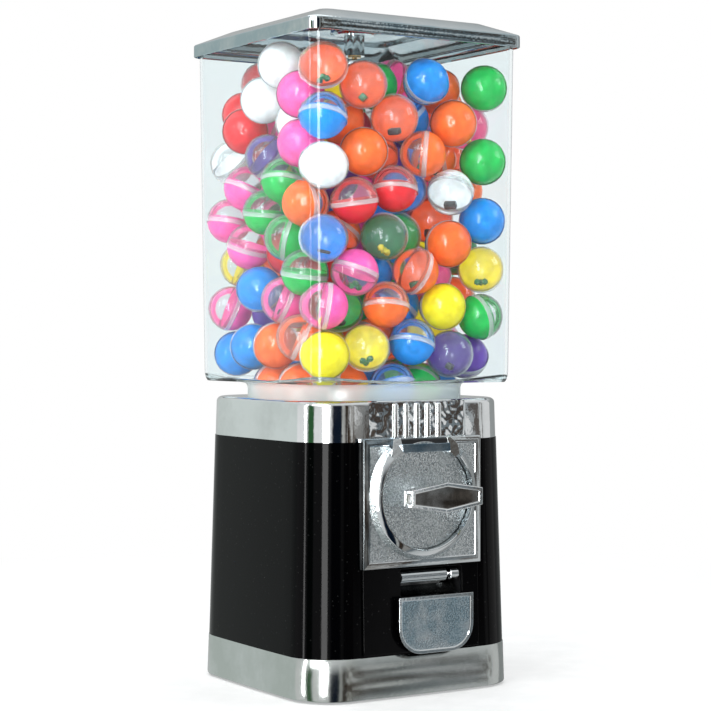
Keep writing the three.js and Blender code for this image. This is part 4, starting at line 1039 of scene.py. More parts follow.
# ------------------------------------------------------------------------------------------------ casing
@dataclass
class Casing:
    """The tapered body, the satin skirt under it and the bright trim over it."""

    half: float = 116.9
    taper: float = 0.0243
    corner: float = 42.0
    bow: float = 2.5
    wall: float = 2.0
    shoulder: float = 5.0
    neck_hole: float = 106.0
    panel: float = 54.7
    recess: float = 3.0
    rib_count: int = 5
    rib_pitch: float = 12.2
    rib_radius: float = 3.2
    roll: float = 1.6
    lip: float = 0.5
    flange: float = 24.0
    plate_lap: float = 19.0
    plate_top_lap: float = 12.0
    drawer_lap: float = 3.4
    drawer_top_lap: float = 9.4
    mouth_width: float = 73.4
    mouth_top: float = 119.9
    gap: float = 0.6
    skirt: Box = field(default_factory=lambda: Box.of("base_skirt"))
    shell: Box = field(default_factory=lambda: Box.of("body_shell"))
    trim: Box = field(default_factory=lambda: Box.of("top_trim"))

    def half_at(self, z: float) -> float:
        """Half the body's width at a height, without the bow."""
        return self.half - self.taper * z

    def front_at(self, z: float) -> float:
        """How far the front stands out at a height."""
        return self.half_at(z) + self.bow

    def tube(self, shape: Shape, z0: float, z1: float) -> list[BMEdge]:
        """The body's outline, carried from one height to another.

        Args:
            shape: where it goes.
            z0: the lower height.
            z1: the upper one.

        Returns:
            The upper ring's edges.
        """
        ring = shape.square_ring(self.half_at(z0), self.corner, z0, self.bow, segments=14)
        return shape.rise(ring, self.half_at(z1) / self.half_at(z0), z1)

    def build(self) -> None:
        """Builds the three bands."""
        self.build_skirt()
        self.build_shell()
        self.build_trim()
        dress(STEEL, "base_plate")
        dress(RUBBER, *(f"foot_{i + 1}" for i in range(4)))

    def build_skirt(self) -> None:
        """The satin band, rolled in at its lower edge."""
        shape = Shape()
        roll = self.roll
        high = self.skirt.high.z
        start = self.half_at(0) - roll
        ring = shape.square_ring(start, self.corner - roll, 0.0, self.bow, segments=14)
        rolled = [(start + roll * math.sin(a), roll * (1 - math.cos(a))) for a in map(math.radians, (30, 60, 90))]
        ring = shape.stack(ring, start, rolled)
        ring = shape.rise(ring, self.half_at(high) / self.half_at(roll), high - self.lip)
        ring = shape.rise(ring, 1 - self.lip / self.half, high)
        shape.rise(ring, 1 - self.flange / self.half, high)
        shape.piece("skirt_band", "cabinet", [SATIN], ["base_skirt"], wall=self.wall, crease=50)

    def build_shell(self) -> None:
        """The black casing, open behind the faceplate, the chute and the drawer."""
        shape = Shape()
        self.tube(shape, self.shell.low.z, self.shell.high.z)
        plate, chute, drawer = Box.of("coin_faceplate"), Box.of("capsule_chute"), Box.of("cash_drawer")
        reach = self.half + 2 * self.bow
        side = plate.high.x - self.plate_lap
        shape.window((-side, -reach, plate.low.z + self.plate_lap), (side, 0, plate.high.z - self.plate_top_lap))
        gap = self.gap
        shape.window((chute.low.x - gap, -reach, chute.low.z - gap),
                     (chute.low.x + self.mouth_width + gap, 0, self.mouth_top + gap))
        shape.window((drawer.low.x + self.drawer_lap, 0, self.shell.low.z - 1),
                     (drawer.high.x - self.drawer_lap, reach, drawer.high.z - self.drawer_top_lap))
        shape.piece("body_casing", "cabinet", [BLACK], ["body_shell"], wall=self.wall)

    def build_trim(self) -> None:
        """The bright band with its rounded shoulder, round neck hole and recessed front panel."""
        shape = Shape()
        low, high = self.trim.low.z, self.trim.high.z
        ring = self.tube(shape, low, high - self.shoulder)
        half = self.half_at(high)
        turns = [math.radians(15 * k) for k in range(1, 7)]
        ring = shape.stack(ring, half, [(half - self.shoulder * (1 - math.cos(a)),
                                         high - self.shoulder * (1 - math.sin(a))) for a in turns])
        hole = shape.circle(self.neck_hole, high)
        shape.bridge(ring, hole)
        lip = shape.rise(hole, (self.neck_hole - 0.8) / self.neck_hole, high - 0.8)
        shape.rise(lip, 1.0, high - 8)
        bmesh.ops.recalc_face_normals(shape.bm, faces=shape.bm.faces)
        if shape.facing((0, -1, 0))[0].calc_center_median().y > 0:
            bmesh.ops.reverse_faces(shape.bm, faces=shape.bm.faces)
        self.recess_panel(shape, self.front_at(low) - self.recess)
        shape.piece("trim_band", "cabinet", [CHROME, PANEL_CHROME], ["top_trim"], crease=38, tidy=False)
        self.build_ribs(self.front_at(low) - self.recess)

    def recess_panel(self, shape: Shape, depth: float) -> None:
        """Sets the middle of the front back to a flat panel.

        Args:
            shape: the trim.
            depth: how far the panel stands out from the machine's axis.
        """
        for side in (-1, 1):
            shape.slice(0, side * self.panel)
        faces = [f for f in shape.bm.faces
                 if abs(f.calc_center_median().x) < self.panel and f.calc_center_median().y < -depth + 0.6
                 and f.normal.y < -0.05]
        moved = shape.push(faces, (0, 0, 0))
        for f in moved:
            f.material_index = 1
            for v in f.verts:
                v.co.y = max(v.co.y, -depth)

    def build_ribs(self, depth: float) -> None:
        """The upright ribs on the panel, with domed upper ends.

        Args:
            depth: how far the panel stands out from the machine's axis.
        """
        shape = Shape()
        low, high = self.trim.low.z + 0.2, self.trim.high.z - 2.2
        radius = self.rib_radius
        profile = [(0, low), (radius, low), (radius, high - radius)]
        profile += [(radius * math.cos(a), high - radius + radius * math.sin(a))
                    for a in (math.radians(k * 15) for k in range(1, 7))]
        for i in range(self.rib_count):
            x = (i - (self.rib_count - 1) / 2) * self.rib_pitch
            shape.spun(profile, AXIS_Z, AXIS_X, (x, -depth + 0.4, 0), steps=24)
        shape.piece("trim_ribs", "cabinet", [CHROME], tidy=False)


# ------------------------------------------------------------------------------------------------ globe and lid
@dataclass
class Globe:
    """The clear square globe on its round neck, and the gasket under it."""

    half: float = 113.9
    top_half: float = 117.9
    corner: float = 19.0
    wall: float = 2.6
    tuck: float = 3.2
    step: float = 0.9
    rise: float = 11.2
    lift: float = 0.15
    neck: float = 105.0
    neck_height: float = 19.6
    collar: float = 3.4
    flare: float = 6.0
    box: Box = field(default_factory=lambda: Box.of("globe"))
    gasket: Box = field(default_factory=lambda: Box.of("globe_gasket"))

    @property
    def shoulder(self) -> float:
        """The height at which the globe's underside leaves the neck."""
        return self.box.low.z + self.neck_height + self.flare

    def build(self) -> None:
        """Builds the globe and its gasket."""
        shape = Shape()
        base = self.shoulder
        top = self.box.high.z
        start, low = self.half - self.tuck, base + self.step
        under = shape.square_ring(start, self.corner, low, segments=10, columns=9)
        widen = (self.top_half - self.half) * 0.04
        stops = []
        for turn in range(15, 91, 15):
            angle = math.radians(turn)
            stops.append((self.half - self.tuck * (1 - math.sin(angle)) + widen * turn / 90,
                          low + self.rise * (1 - math.cos(angle))))
        ring = shape.stack(under, start, stops)
        for v in {v for e in under for v in e.verts}:
            v.co.z += self.lift * max(0.0, math.hypot(v.co.x, v.co.y) - self.neck - 5)
        shape.stack(ring, stops[-1][0], [(self.top_half - 0.03, top - 3), (self.top_half, top)])
        collar = shape.circle(self.neck + self.collar, base, steps=72)
        shape.bridge(under, collar)
        throat = [(self.neck + out, base - drop) for out, drop in ((1.9, 0.8), (0.9, 2.0), (0.2, 3.6), (0, self.flare))]
        shape.stack(collar, self.neck + self.collar, [*throat, (self.neck, self.box.low.z)])
        # The neck below the shoulder gets the rough milky finish: a painted reflection.
        shape.paint(1, lambda f: f.calc_center_median().z < base)
        shape.piece("globe_wall", "cabinet", [CLEAR, NECK_PAINTED_REFLECTION], ["globe"], wall=self.wall, crease=50)
        self.build_gasket()

    def build_gasket(self) -> None:
        """The soft ring that the neck stands on."""
        shape = Shape()
        outer, low, high = self.gasket.high.x, self.gasket.low.z, self.gasket.high.z
        inner = outer - 4
        profile = [(inner, low), (outer, low), (outer, high), (inner, high)]
        shape.spun(profile, AXIS_Z, AXIS_X, steps=72, closed=True)
        shape.piece("neck_gasket", "cabinet", [RUBBER], ["globe_gasket"], edge=0.3)


@dataclass
class Lid:
    """The bright lid with its sloped crown, and the lock in its middle."""

    corner: float = 11.5
    rim: float = 12.6
    fillet: float = 2.0
    wall: float = 1.8
    plateau: float = 90.0
    dish: float = 20.0
    sunk: float = 6.0
    barrel_hole: float = 10.3
    box: Box = field(default_factory=lambda: Box.of("lid"))

    def build(self) -> None:
        """Builds the lid and its lock."""
        self.build_lid()
        self.build_lock()

    def build_lid(self) -> None:
        """The lid: a rim with rounded edges, four slopes and a level top with a dish for the lock."""
        shape = Shape()
        low, high, half = self.box.low.z, self.box.high.z, self.box.high.x
        size = half - 1
        ring = shape.square_ring(size, self.corner, low, segments=8, columns=9)
        stops = [(half - 0.3, low + 0.3), (half, low + 1), (half, low + self.rim - self.fillet)]
        stops += [(half - self.fillet * (1 - math.cos(math.radians(a))),
                   low + self.rim - self.fillet * (1 - math.sin(math.radians(a)))) for a in (25, 50, 75)]
        stops += [(self.plateau + 1.5, high - 0.45), (self.plateau - 0.5, high - 0.05), (self.plateau - 3, high)]
        ring = shape.stack(ring, size, stops)
        rim = shape.circle(self.dish + 1.5, high)
        shape.bridge(ring, rim)
        floor_z = high - self.sunk
        shape.stack(rim, self.dish + 1.5, [(self.dish + 0.5, high - 0.3), (self.dish, high - 1.2),
                                           (self.dish, floor_z + 1), (self.dish - 1, floor_z),
                                           (self.barrel_hole, floor_z)])
        shape.piece("lid_cover", "lid", [LID_CHROME], ["lid"], wall=self.wall, crease=40)

    def build_lock(self) -> None:
        """The lock's flanged barrel and the key plug in it."""
        barrel, plug = Box.of("lid_lock_barrel"), Box.of("lid_lock_plug")
        shape = Shape()
        top, seat = barrel.high.z, barrel.high.z - 2.4
        profile = [(6.9, barrel.low.z), (10, barrel.low.z), (10, seat), (14, seat), (14, top - 0.8),
                   (13.2, top), (7.4, top), (6.9, top - 0.5)]
        shape.spun(profile, AXIS_Z, AXIS_X, closed=True, steps=40)
        shape.piece("lid_lock_ring", "lid", [CHROME], ["lid_lock_barrel"])
        shape = Shape()
        key_plug(shape, AXIS_Z, AXIS_X, (0, 0, plug.high.z), 6.5, 26, 1.6)
        shape.spun([(0, plug.low.z), (2.6, plug.low.z), (2.6, barrel.low.z), (0, barrel.low.z)], AXIS_Z,
                   AXIS_X, steps=12)
        bar = shape.cube((-11, -3, plug.low.z), (11, 3, plug.low.z + 3))
        shape.bevel(shape.edges_of(bar, runs_along(2)), 2.5, 4)
        shape.piece("lid_key_plug", "lid_lock", [BRASS, BLACK_PLASTIC], ["lid_lock_plug"], tidy=False)


def key_plug(shape: Shape, axis: Vector, across: Vector, face: Sequence[float], radius: float, length: float,
             key: float) -> None:
    """A lock's round plug, with a thin black block in its face for the keyway: painted shade for the opening.

    Args:
        shape: where it goes.
        axis: the direction that its face looks in.
        across: the direction that the keyway runs in.
        face: the middle of its face.
        radius: the plug's radius.
        length: how far it runs back.
        key: the keyway's width.
    """
    profile = [(0, -length), (radius, -length), (radius, -0.5), (radius - 0.5, 0), (0, 0)]
    shape.spun(profile, axis, across, face, steps=32)
    side = axis.cross(across)
    half = across * radius * 0.6 + side * key / 2
    corners = [Vector(face) + sign * half + axis * step for sign, step in ((-1, -0.4), (1, 0.03))]
    low, high = ([min(c[k] for c in corners) for k in range(3)], [max(c[k] for c in corners) for k in range(3)])
    # The keyway is a thin black block on the face: painted shade.
    shape.tint(shape.cube(low, high), 1)


# ------------------------------------------------------------------------------------------------ coin mechanism
@dataclass
class CoinMechanism:
    """The cast faceplate with its ring and coin gate, the turning disc and the lever."""

    bevel: float = 2.0
    border: float = 8.0
    field_depth: float = 0.8
    ring_inner: float = 50.6
    ring_band: float = 57.0
    ring_outer: float = 60.6
    gate_half: float = 26.0
    gate_chord: float = 42.0
    gate_start: float = 47.0
    dish: float = 1.6
    lever_end: float = 16.0
    lever_rim: float = 3.4
    lever_depth: float = 14.0
    plate_depth: float = 9.2
    ring_height: float = 8.0
    plate: Box = field(default_factory=lambda: Box.of("coin_faceplate"))
    disc: Box = field(default_factory=lambda: Box.of("coin_disc"))
    lever: Box = field(default_factory=lambda: Box.of("handle_lever"))

    @property
    def centre(self) -> Vector:
        """Where the spindle's axis meets the plate's front."""
        return Vector((0, self.front, self.lever.middle.z))

    @property
    def front(self) -> float:
        """The plate's front face."""
        return self.plate.low.y + self.ring_height

    def build(self) -> None:
        """Builds the plate, the disc and the lever, and dresses what turns behind them."""
        self.build_plate()
        self.build_ring()
        self.build_gate()
        self.build_disc()
        self.build_lever()
        dress(STEEL, "spindle", "ratchet", "coin_dog", "dog_pin", "dog_spring", "mech_bracket")
        dress(STEEL, *(f"mech_screw_{i + 1}" for i in range(4)))
        dress(WHITE_PLASTIC, "pinion")
        dress(BRASS, "spindle_bush")

    def build_plate(self) -> None:
        """The plate: a polished bevelled border round a hammered field. Its left border gets a darker copy of the
        casting and the left half of its upper border a bluish one: painted reflections.
        """
        shape = Shape()
        low, high = self.plate.low, self.plate.high
        shape.cube((low.x, self.front, low.z), (high.x, self.front + self.plate_depth, high.z))
        front = shape.facing((0, -1, 0))
        shape.bevel([e for f in front for e in f.edges], self.bevel, 2)
        front = shape.broadest((0, -1, 0))
        shape.recess(front, self.border - self.bevel - 1.2, 0.9, self.field_depth)
        shape.paint(1, lambda f: f == front)
        shape.slice(0, 0.0)
        edge = self.border
        # The left border gets the darker copy of the casting: a painted reflection.
        shape.paint(2, lambda f: f.calc_center_median().x < low.x + edge and f.material_index == 0)
        # The left half of the upper border gets the bluish copy: a painted reflection.
        shape.paint(3, lambda f: f.calc_center_median().z > high.z - edge and f.calc_center_median().x < 0
                    and f.material_index == 0)
        shape.piece("mechanism_plate", "cabinet", [DIE_CAST, ZINC, LEFT_BORDER_REFLECTION, BLUISH_REFLECTION], ["coin_faceplate"], edge=0.35,
                    tidy=False)

    def build_ring(self) -> None:
        """The raised ring, open at the top for the gate: a polished band that slopes out to a hammered edge."""
        shape = Shape()
        crest = self.plate.low.y - self.front
        profile = [(self.ring_inner, 6), (self.ring_inner, crest + 0.8), (self.ring_inner + 0.7, crest),
                   (self.ring_inner + 1.5, crest + 0.1), (self.ring_band - 0.6, crest + 2.6),
                   (self.ring_band, crest + 3.3), (self.ring_outer, 0.8), (self.ring_outer, 6)]
        shape.spun(profile, AXIS_Y, AXIS_Z, self.centre, steps=96, closed=True,
                   span=(self.gate_start, 360 - self.gate_start))
        middle = self.centre

        def outer(face: BMFace) -> bool:
            """Whether a face lies on the ring's outer slope."""
            at = face.calc_center_median() - middle
            return math.hypot(at.x, at.z) > self.ring_band

        shape.paint(1, outer)
        shape.piece("mechanism_ring", "cabinet", [DIE_CAST, ZINC], crease=20, tidy=False)

    def build_gate(self) -> None:
        """The coin gate: a sloped sill with a bluish painted reflection, under a slot filled with a black block as
        painted shade, between two polished cheeks that end the ring.
        """
        shape = Shape()
        z = self.centre.z
        top = self.plate.high.z
        sill, crest = z + self.gate_chord, self.plate.low.y
        half = self.gate_half
        made = shape.cube((-half - 1, crest + 2, sill - 1.5), (half + 1, self.front + 3, sill + 6.2))
        for v in made:
            if v.co.z > sill and v.co.y < self.front:
                v.co.y += 1.2
        # The sill gets the bluish copy of the casting: a painted reflection.
        shape.tint(made, 2)
        shape.cube((-half - 1, self.front - 0.4, top - 1.9), (half + 1, self.front + 3, top - 0.1))
        # A black block fills the slot: painted shade for the dark opening.
        slot = shape.cube((-half, self.front - 1.2, sill + 5.4), (half, self.front + 2.4, top - 1.7))
        shape.tint(slot, 1)
        for side in (-1, 1):
            self.build_cheek(shape, side, z, top, crest)
        shape.piece("coin_gate", "cabinet", [DIE_CAST, BLACK_PLASTIC, BLUISH_REFLECTION], edge=0.4, tidy=False)

    def build_cheek(self, shape: Shape, side: int, z: float, top: float, crest: float) -> None:
        """One of the flat cheeks beside the slot.

        Args:
            shape: where it goes.
            side: -1 for the left one, 1 for the right one.
            z: the spindle's height.
            top: the plate's upper edge.
            crest: the ring's crest, along Y.
        """
        half = self.gate_half
        reach = 0.0 if side < 0 else -4.0
        edge = top - z - 0.6
        # Each corner's distance from the middle, height above the spindle and depth behind the crest.
        outline = [(half, self.gate_chord - 2.5, 1.4), (36.2 + reach, 34.2, 2.6), (40.6 + reach, 38.0, 0.8),
                   (38.5 + reach, 47.5, 1.2), (34.0 + reach, edge, 6.6), (half, edge, 7.0)]
        verts = [shape.bm.verts.new((side * x, self.front + 2, z + up)) for x, up, _ in outline]
        face = shape.bm.faces.new(verts if side < 0 else verts[::-1])
        made = shape.push([face], (0, 0, 0))
        for v in made[0].verts:
            nearest = min(outline, key=lambda corner: abs(side * v.co.x - corner[0]) + abs(v.co.z - z - corner[1]))
            v.co.y = crest + nearest[2]
        cap = shape.bm.faces.new(verts[::-1] if side < 0 else verts)
        bmesh.ops.recalc_face_normals(shape.bm, faces=list({cap, *made, *shape.faces_of(verts)}))

    def build_disc(self) -> None:
        """The hammered disc with its rolled rim."""
        shape = Shape()
        radius = self.disc.high.x
        front, back = self.disc.low.y - self.front, self.disc.high.y - self.front
        profile = [(6.3, back), (radius, back), (radius, front + 0.6), (radius - 0.6, front), (11.6, front),
                   (6.3, front)]
        shape.spun(profile, AXIS_Y, AXIS_Z, self.centre, steps=72, closed=True)
        shape.paint(1, lambda f: f.normal.y < -0.9)
        shape.piece("turning_disc", "handle", [DIE_CAST, ZINC], ["coin_disc"], crease=25)

    def build_lever(self) -> None:
        """The six-sided lever: a bright rolled rim round a dished face and recesses in its ends, both darkened with
        painted shade, and its boss.
        """
        shape = Shape()
        low, high = self.lever.low, self.lever.high
        z = self.centre.z
        made = bmesh.ops.create_circle(shape.bm, segments=6, radius=1, cap_ends=True)["verts"]
        shape.tilt(made, 90, "X", (0, 0, 0))
        mid, end = high.z - z, self.lever_end / 2
        places = [(0, mid), (low.x, end), (low.x, -end), (0, -mid), (high.x, -end), (high.x, end)]
        for v, (x, up) in zip(made, places):
            v.co = Vector((x, low.y, z + up))
        shape.push(shape.bm.faces[:1], (0, self.lever_depth, 0))
        shape.bm.faces.new(made)
        bmesh.ops.recalc_face_normals(shape.bm, faces=shape.bm.faces)
        front = shape.broadest((0, -1, 0))
        shape.recess(front, self.lever_rim, 0.6, self.dish)
        poked = bmesh.ops.poke(shape.bm, faces=[front])
        bmesh.ops.translate(shape.bm, vec=(0, 0.9, 0), verts=poked["verts"])
        # The dished face and the end recesses get the darker copy of the chrome: painted shade.
        for f in poked["faces"]:
            f.material_index = 1
        for side in (-1, 1):
            tip = shape.broadest((side, 0, 0))
            shape.recess(tip, 3.2, 0.4, 1.4)
            tip.material_index = 1
        boss = self.disc.low.y - self.front
        back = low.y + self.lever_depth - self.front
        shape.spun([(7.5, back - 1), (9.2, back), (10.6, back + 3), (11, back + 8), (11, boss)], AXIS_Y, AXIS_Z,
                   self.centre, steps=40)
        shape.piece("turning_lever", "handle", [CHROME, LEVER_SHADE, BLACK_PLASTIC], ["handle_lever"], edge=1.3,
                    crease=20, tidy=False)


# ------------------------------------------------------------------------------------------------ chute front
@dataclass
class ChuteFront:
    """The black surround and the flap with its neck, barrel and pin."""

    casing: Casing
    proud: float = 2.6
    rim: float = 3.6
    corner: float = 25.0
    plate: float = 3.4
    neck: float = 2.4
    barrel: float = 6.2
    spacer: float = 5.4
    bore: float = 2.4
    plate_height: float = 53.4
    neck_left: float = -22.0
    neck_right: float = 44.0
    barrel_length: float = 52.0
    mouth_low: tuple = (-24, -200, 46)
    mouth_high: tuple = (46, 0, 118.2)
    surround: Box = field(default_factory=lambda: Box.of("chute_surround"))
    door: Box = field(default_factory=lambda: Box.of("chute_door"))
    pin: Box = field(default_factory=lambda: Box.of("hinge_pin"))

    @property
    def hinge(self) -> Vector:
        """The middle of the hinge pin."""
        return self.pin.middle

    def build(self) -> None:
        """Builds the surround, the flap and the hinge."""
        self.build_surround()
        self.build_door()
        self.build_hinge()
        dress(STEEL, "hinge_pin")
        dress(BLACK_PLASTIC, "capsule_chute", "coin_chute")

    def build_surround(self) -> None:
        """The moulded surround, which follows the casing's front and is open at the chute's mouth."""
        shape = Shape()
        box = self.surround
        made = bmesh.ops.create_grid(shape.bm, x_segments=24, y_segments=8, size=1)["verts"]
        shape.tilt(made, 90, "X", (0, 0, 0))
        for v in made:
            x = v.co.x * box.high.x
            z = box.middle.z + v.co.z * box.size.z / 2
            half = self.casing.half_at(z)
            v.co = Vector((x, -(half + self.casing.bow * (1 - (x / half) ** 2)) - self.proud, z))
        bmesh.ops.recalc_face_normals(shape.bm, faces=shape.bm.faces)
        if shape.bm.faces[:][0].normal.y > 0:
            bmesh.ops.reverse_faces(shape.bm, faces=shape.bm.faces)
        shape.window(self.mouth_low, self.mouth_high)
        shape.piece("mouth_surround", "cabinet", [SURROUND_BLACK], ["chute_surround"], wall=2.2, edge=0.5,
                    tidy=False)

    def build_door(self) -> None:
        """The flap: a plate with round lower corners and a raised rim, and the curved neck behind it."""
        shape = Shape()
        low, high = self.door.low, self.door.high
        front, top = low.y, low.z + self.plate_height
        made = shape.cube((low.x, front, low.z), (high.x, front + self.plate, top))
        across = shape.edges_of(made, runs_along(1))
        shape.bevel([e for e in across if e.verts[0].co.z < low.z + 1], self.corner, 10)
        face = shape.broadest((0, -1, 0))
        shape.recess(face, self.rim - 0.9, 0.9, 1.0)
        face.material_index = 1
        self.build_neck(shape, top)
        shape.piece("flap_plate", "door", [DIE_CAST, FLAP_ZINC, NECK_SHADE], ["chute_door"], edge=0.5, crease=28,
                    tidy=False)

    def build_neck(self, shape: Shape, top: float) -> None:
        """The neck: a bent strip from the plate's upper edge back and up to the barrel, and the barrel. Its rear faces
        carry painted shade.

        Args:
            shape: the flap.
            top: the plate's upper edge.
        """
        hinge = self.hinge
        x0, x1 = self.neck_left, self.neck_right
        split = x0 + self.barrel_length
        front = self.door.low.y + self.plate
        back = self.door.high.y
        path = [(front - 0.5, top - 4.5), (front + 1.5, top - 2.2), (front + 5, top - 0.4), (front + 10, top + 0.8),
                (front + 14, top + 2.4), (back - 3.4, top + 5.0), (back - 1.6, top + 8)]
        rear = [(back - 1.2, hinge.z - 4), (back - 1.2, hinge.z)]
        self.strip(shape, path, x0, x1)
        self.strip(shape, [path[-1], *rear], x0, split)
        self.knuckle(shape, x0, self.barrel_length, self.barrel)
        shape.cube((x0 + 0.5, hinge.y + 4, hinge.z - 1.4), (split - 0.5, back - 0.4, hinge.z + 1.4))
        reach = Vector((hinge.y, hinge.z))
        # The rear faces of the neck, back in the mouth, get the near-black finish: painted shade.
        shape.paint(2, lambda f: f.calc_center_median().y > front + 8 and f.calc_center_median().z > top + 1
                    and (f.calc_center_median().yz - reach).length > self.barrel + 0.5)

    def knuckle(self, shape: Shape, start: float, length: float, radius: float) -> None:
        """A barrel on the hinge pin, with broken edges.

        Args:
            shape: where it goes.
            start: where it starts, along X.
            length: its length.
            radius: its radius.
        """
        chamfer = 0.4
        profile = [(self.bore, 0), (radius - chamfer, 0), (radius, chamfer), (radius, length - chamfer),
                   (radius - chamfer, length), (self.bore, length)]
        shape.spun(profile, AXIS_X, AXIS_Z, (start, self.hinge.y, self.hinge.z), steps=32, closed=True)

    def strip(self, shape: Shape, path: Sequence[tuple], x0: float, x1: float) -> None:
        """A bent strip of the neck's thickness.

        Args:
            shape: where it goes.
            path: its bends, as (y, z).
            x0: its left edge.
            x1: its right edge.
        """
        verts = [shape.bm.verts.new((x0, y, z)) for y, z in path]
        edges = [shape.bm.edges.new(pair) for pair in zip(verts, verts[1:])]
        made = bmesh.ops.extrude_edge_only(shape.bm, edges=edges)["geom"]
        bmesh.ops.translate(shape.bm, vec=(x1 - x0, 0, 0), verts=only(BMVert, made))
        faces = only(BMFace, made)
        solid = bmesh.ops.solidify(shape.bm, geom=faces, thickness=self.neck)["geom"]
        every = only(BMFace, solid) + faces
        bmesh.ops.recalc_face_normals(shape.bm, faces=list({f for f in every if f.is_valid}))

    def build_hinge(self) -> None:
        """The loose knuckle at the pin's right-hand end."""
        shape = Shape()
        box = Box.of("hinge_spacer")
        self.knuckle(shape, box.low.x, box.size.x, self.spacer)
        shape.piece("hinge_knuckle", "cabinet", [CHROME], ["hinge_spacer"])


# ------------------------------------------------------------------------------------------------ cash drawer
@dataclass
class CashDrawer:
    """The drawer at the back, with its panel and lock."""

    wall: float = 2.0
    panel: float = 2.5
    box: Box = field(default_factory=lambda: Box.of("cash_drawer"))
    barrel: Box = field(default_factory=lambda: Box.of("cash_lock_barrel"))
    plug: Box = field(default_factory=lambda: Box.of("cash_lock_plug"))

    def build(self) -> None:
        """Builds the drawer and its lock."""
        shape = Shape()
        low, high = self.box.low, self.box.high
        face = high.y - self.panel
        made = shape.cube((low.x + 4, low.y, low.z), (high.x - 4, face + 0.4, low.z + 50))
        bmesh.ops.delete(shape.bm, geom=shape.facing((0, 0, 1)), context="FACES_ONLY")
        tray = shape.faces_of(made)
        bmesh.ops.solidify(shape.bm, geom=tray, thickness=self.wall)
        plate = shape.cube((low.x, face, low.z), (high.x, high.y, high.z))
        shape.bevel(shape.edges_of(plate, runs_along(1)), 5, 6)
        shape.piece("drawer_tray", "drawer", [BLACK], ["cash_drawer"], edge=0.6, tidy=False)
        self.build_lock()

    def build_lock(self) -> None:
        """The lock's flanged barrel, its key plug and the cam on it."""
        middle = self.barrel.middle
        outside = self.barrel.high.y
        shape = Shape()
        length = self.barrel.size.y
        profile = [(5.4, -length), (8, -length), (8, -2), (10.5, -2), (10.5, -0.6), (9.9, 0), (5.9, 0),
                   (5.4, -0.4)]
        shape.spun(profile, AXIS_Y, AXIS_X, (0, outside, middle.z), steps=40, closed=True)
        shape.piece("drawer_lock_ring", "drawer", [CHROME], ["cash_lock_barrel"])
        shape = Shape()
        reach = self.plug.size.y
        key_plug(shape, AXIS_Y, AXIS_X, (0, self.plug.high.y, middle.z), 5, reach, 1.6)
        back = self.plug.low.y
        cam = shape.cube((-4.5, back, middle.z - 4.5), (self.plug.high.x, back + 2.4, middle.z + 4.5))
        shape.bevel(shape.edges_of(cam, runs_along(1)), 4, 5)
        shape.piece("drawer_key_plug", "drawer_lock", [BRASS, BLACK_PLASTIC], ["cash_lock_plug"], tidy=False)


# ------------------------------------------------------------------------------------------------ capsules
def numbers(seed: int) -> Iterator[float]:
    """An endless run of repeatable numbers from 0 to 1.

    Args:
        seed: where the run starts.

    Yields:
        The next number.
    """
    factor, prime = 16807, 2147483647
    while True:
        seed = (seed * factor) % prime
        yield seed / prime


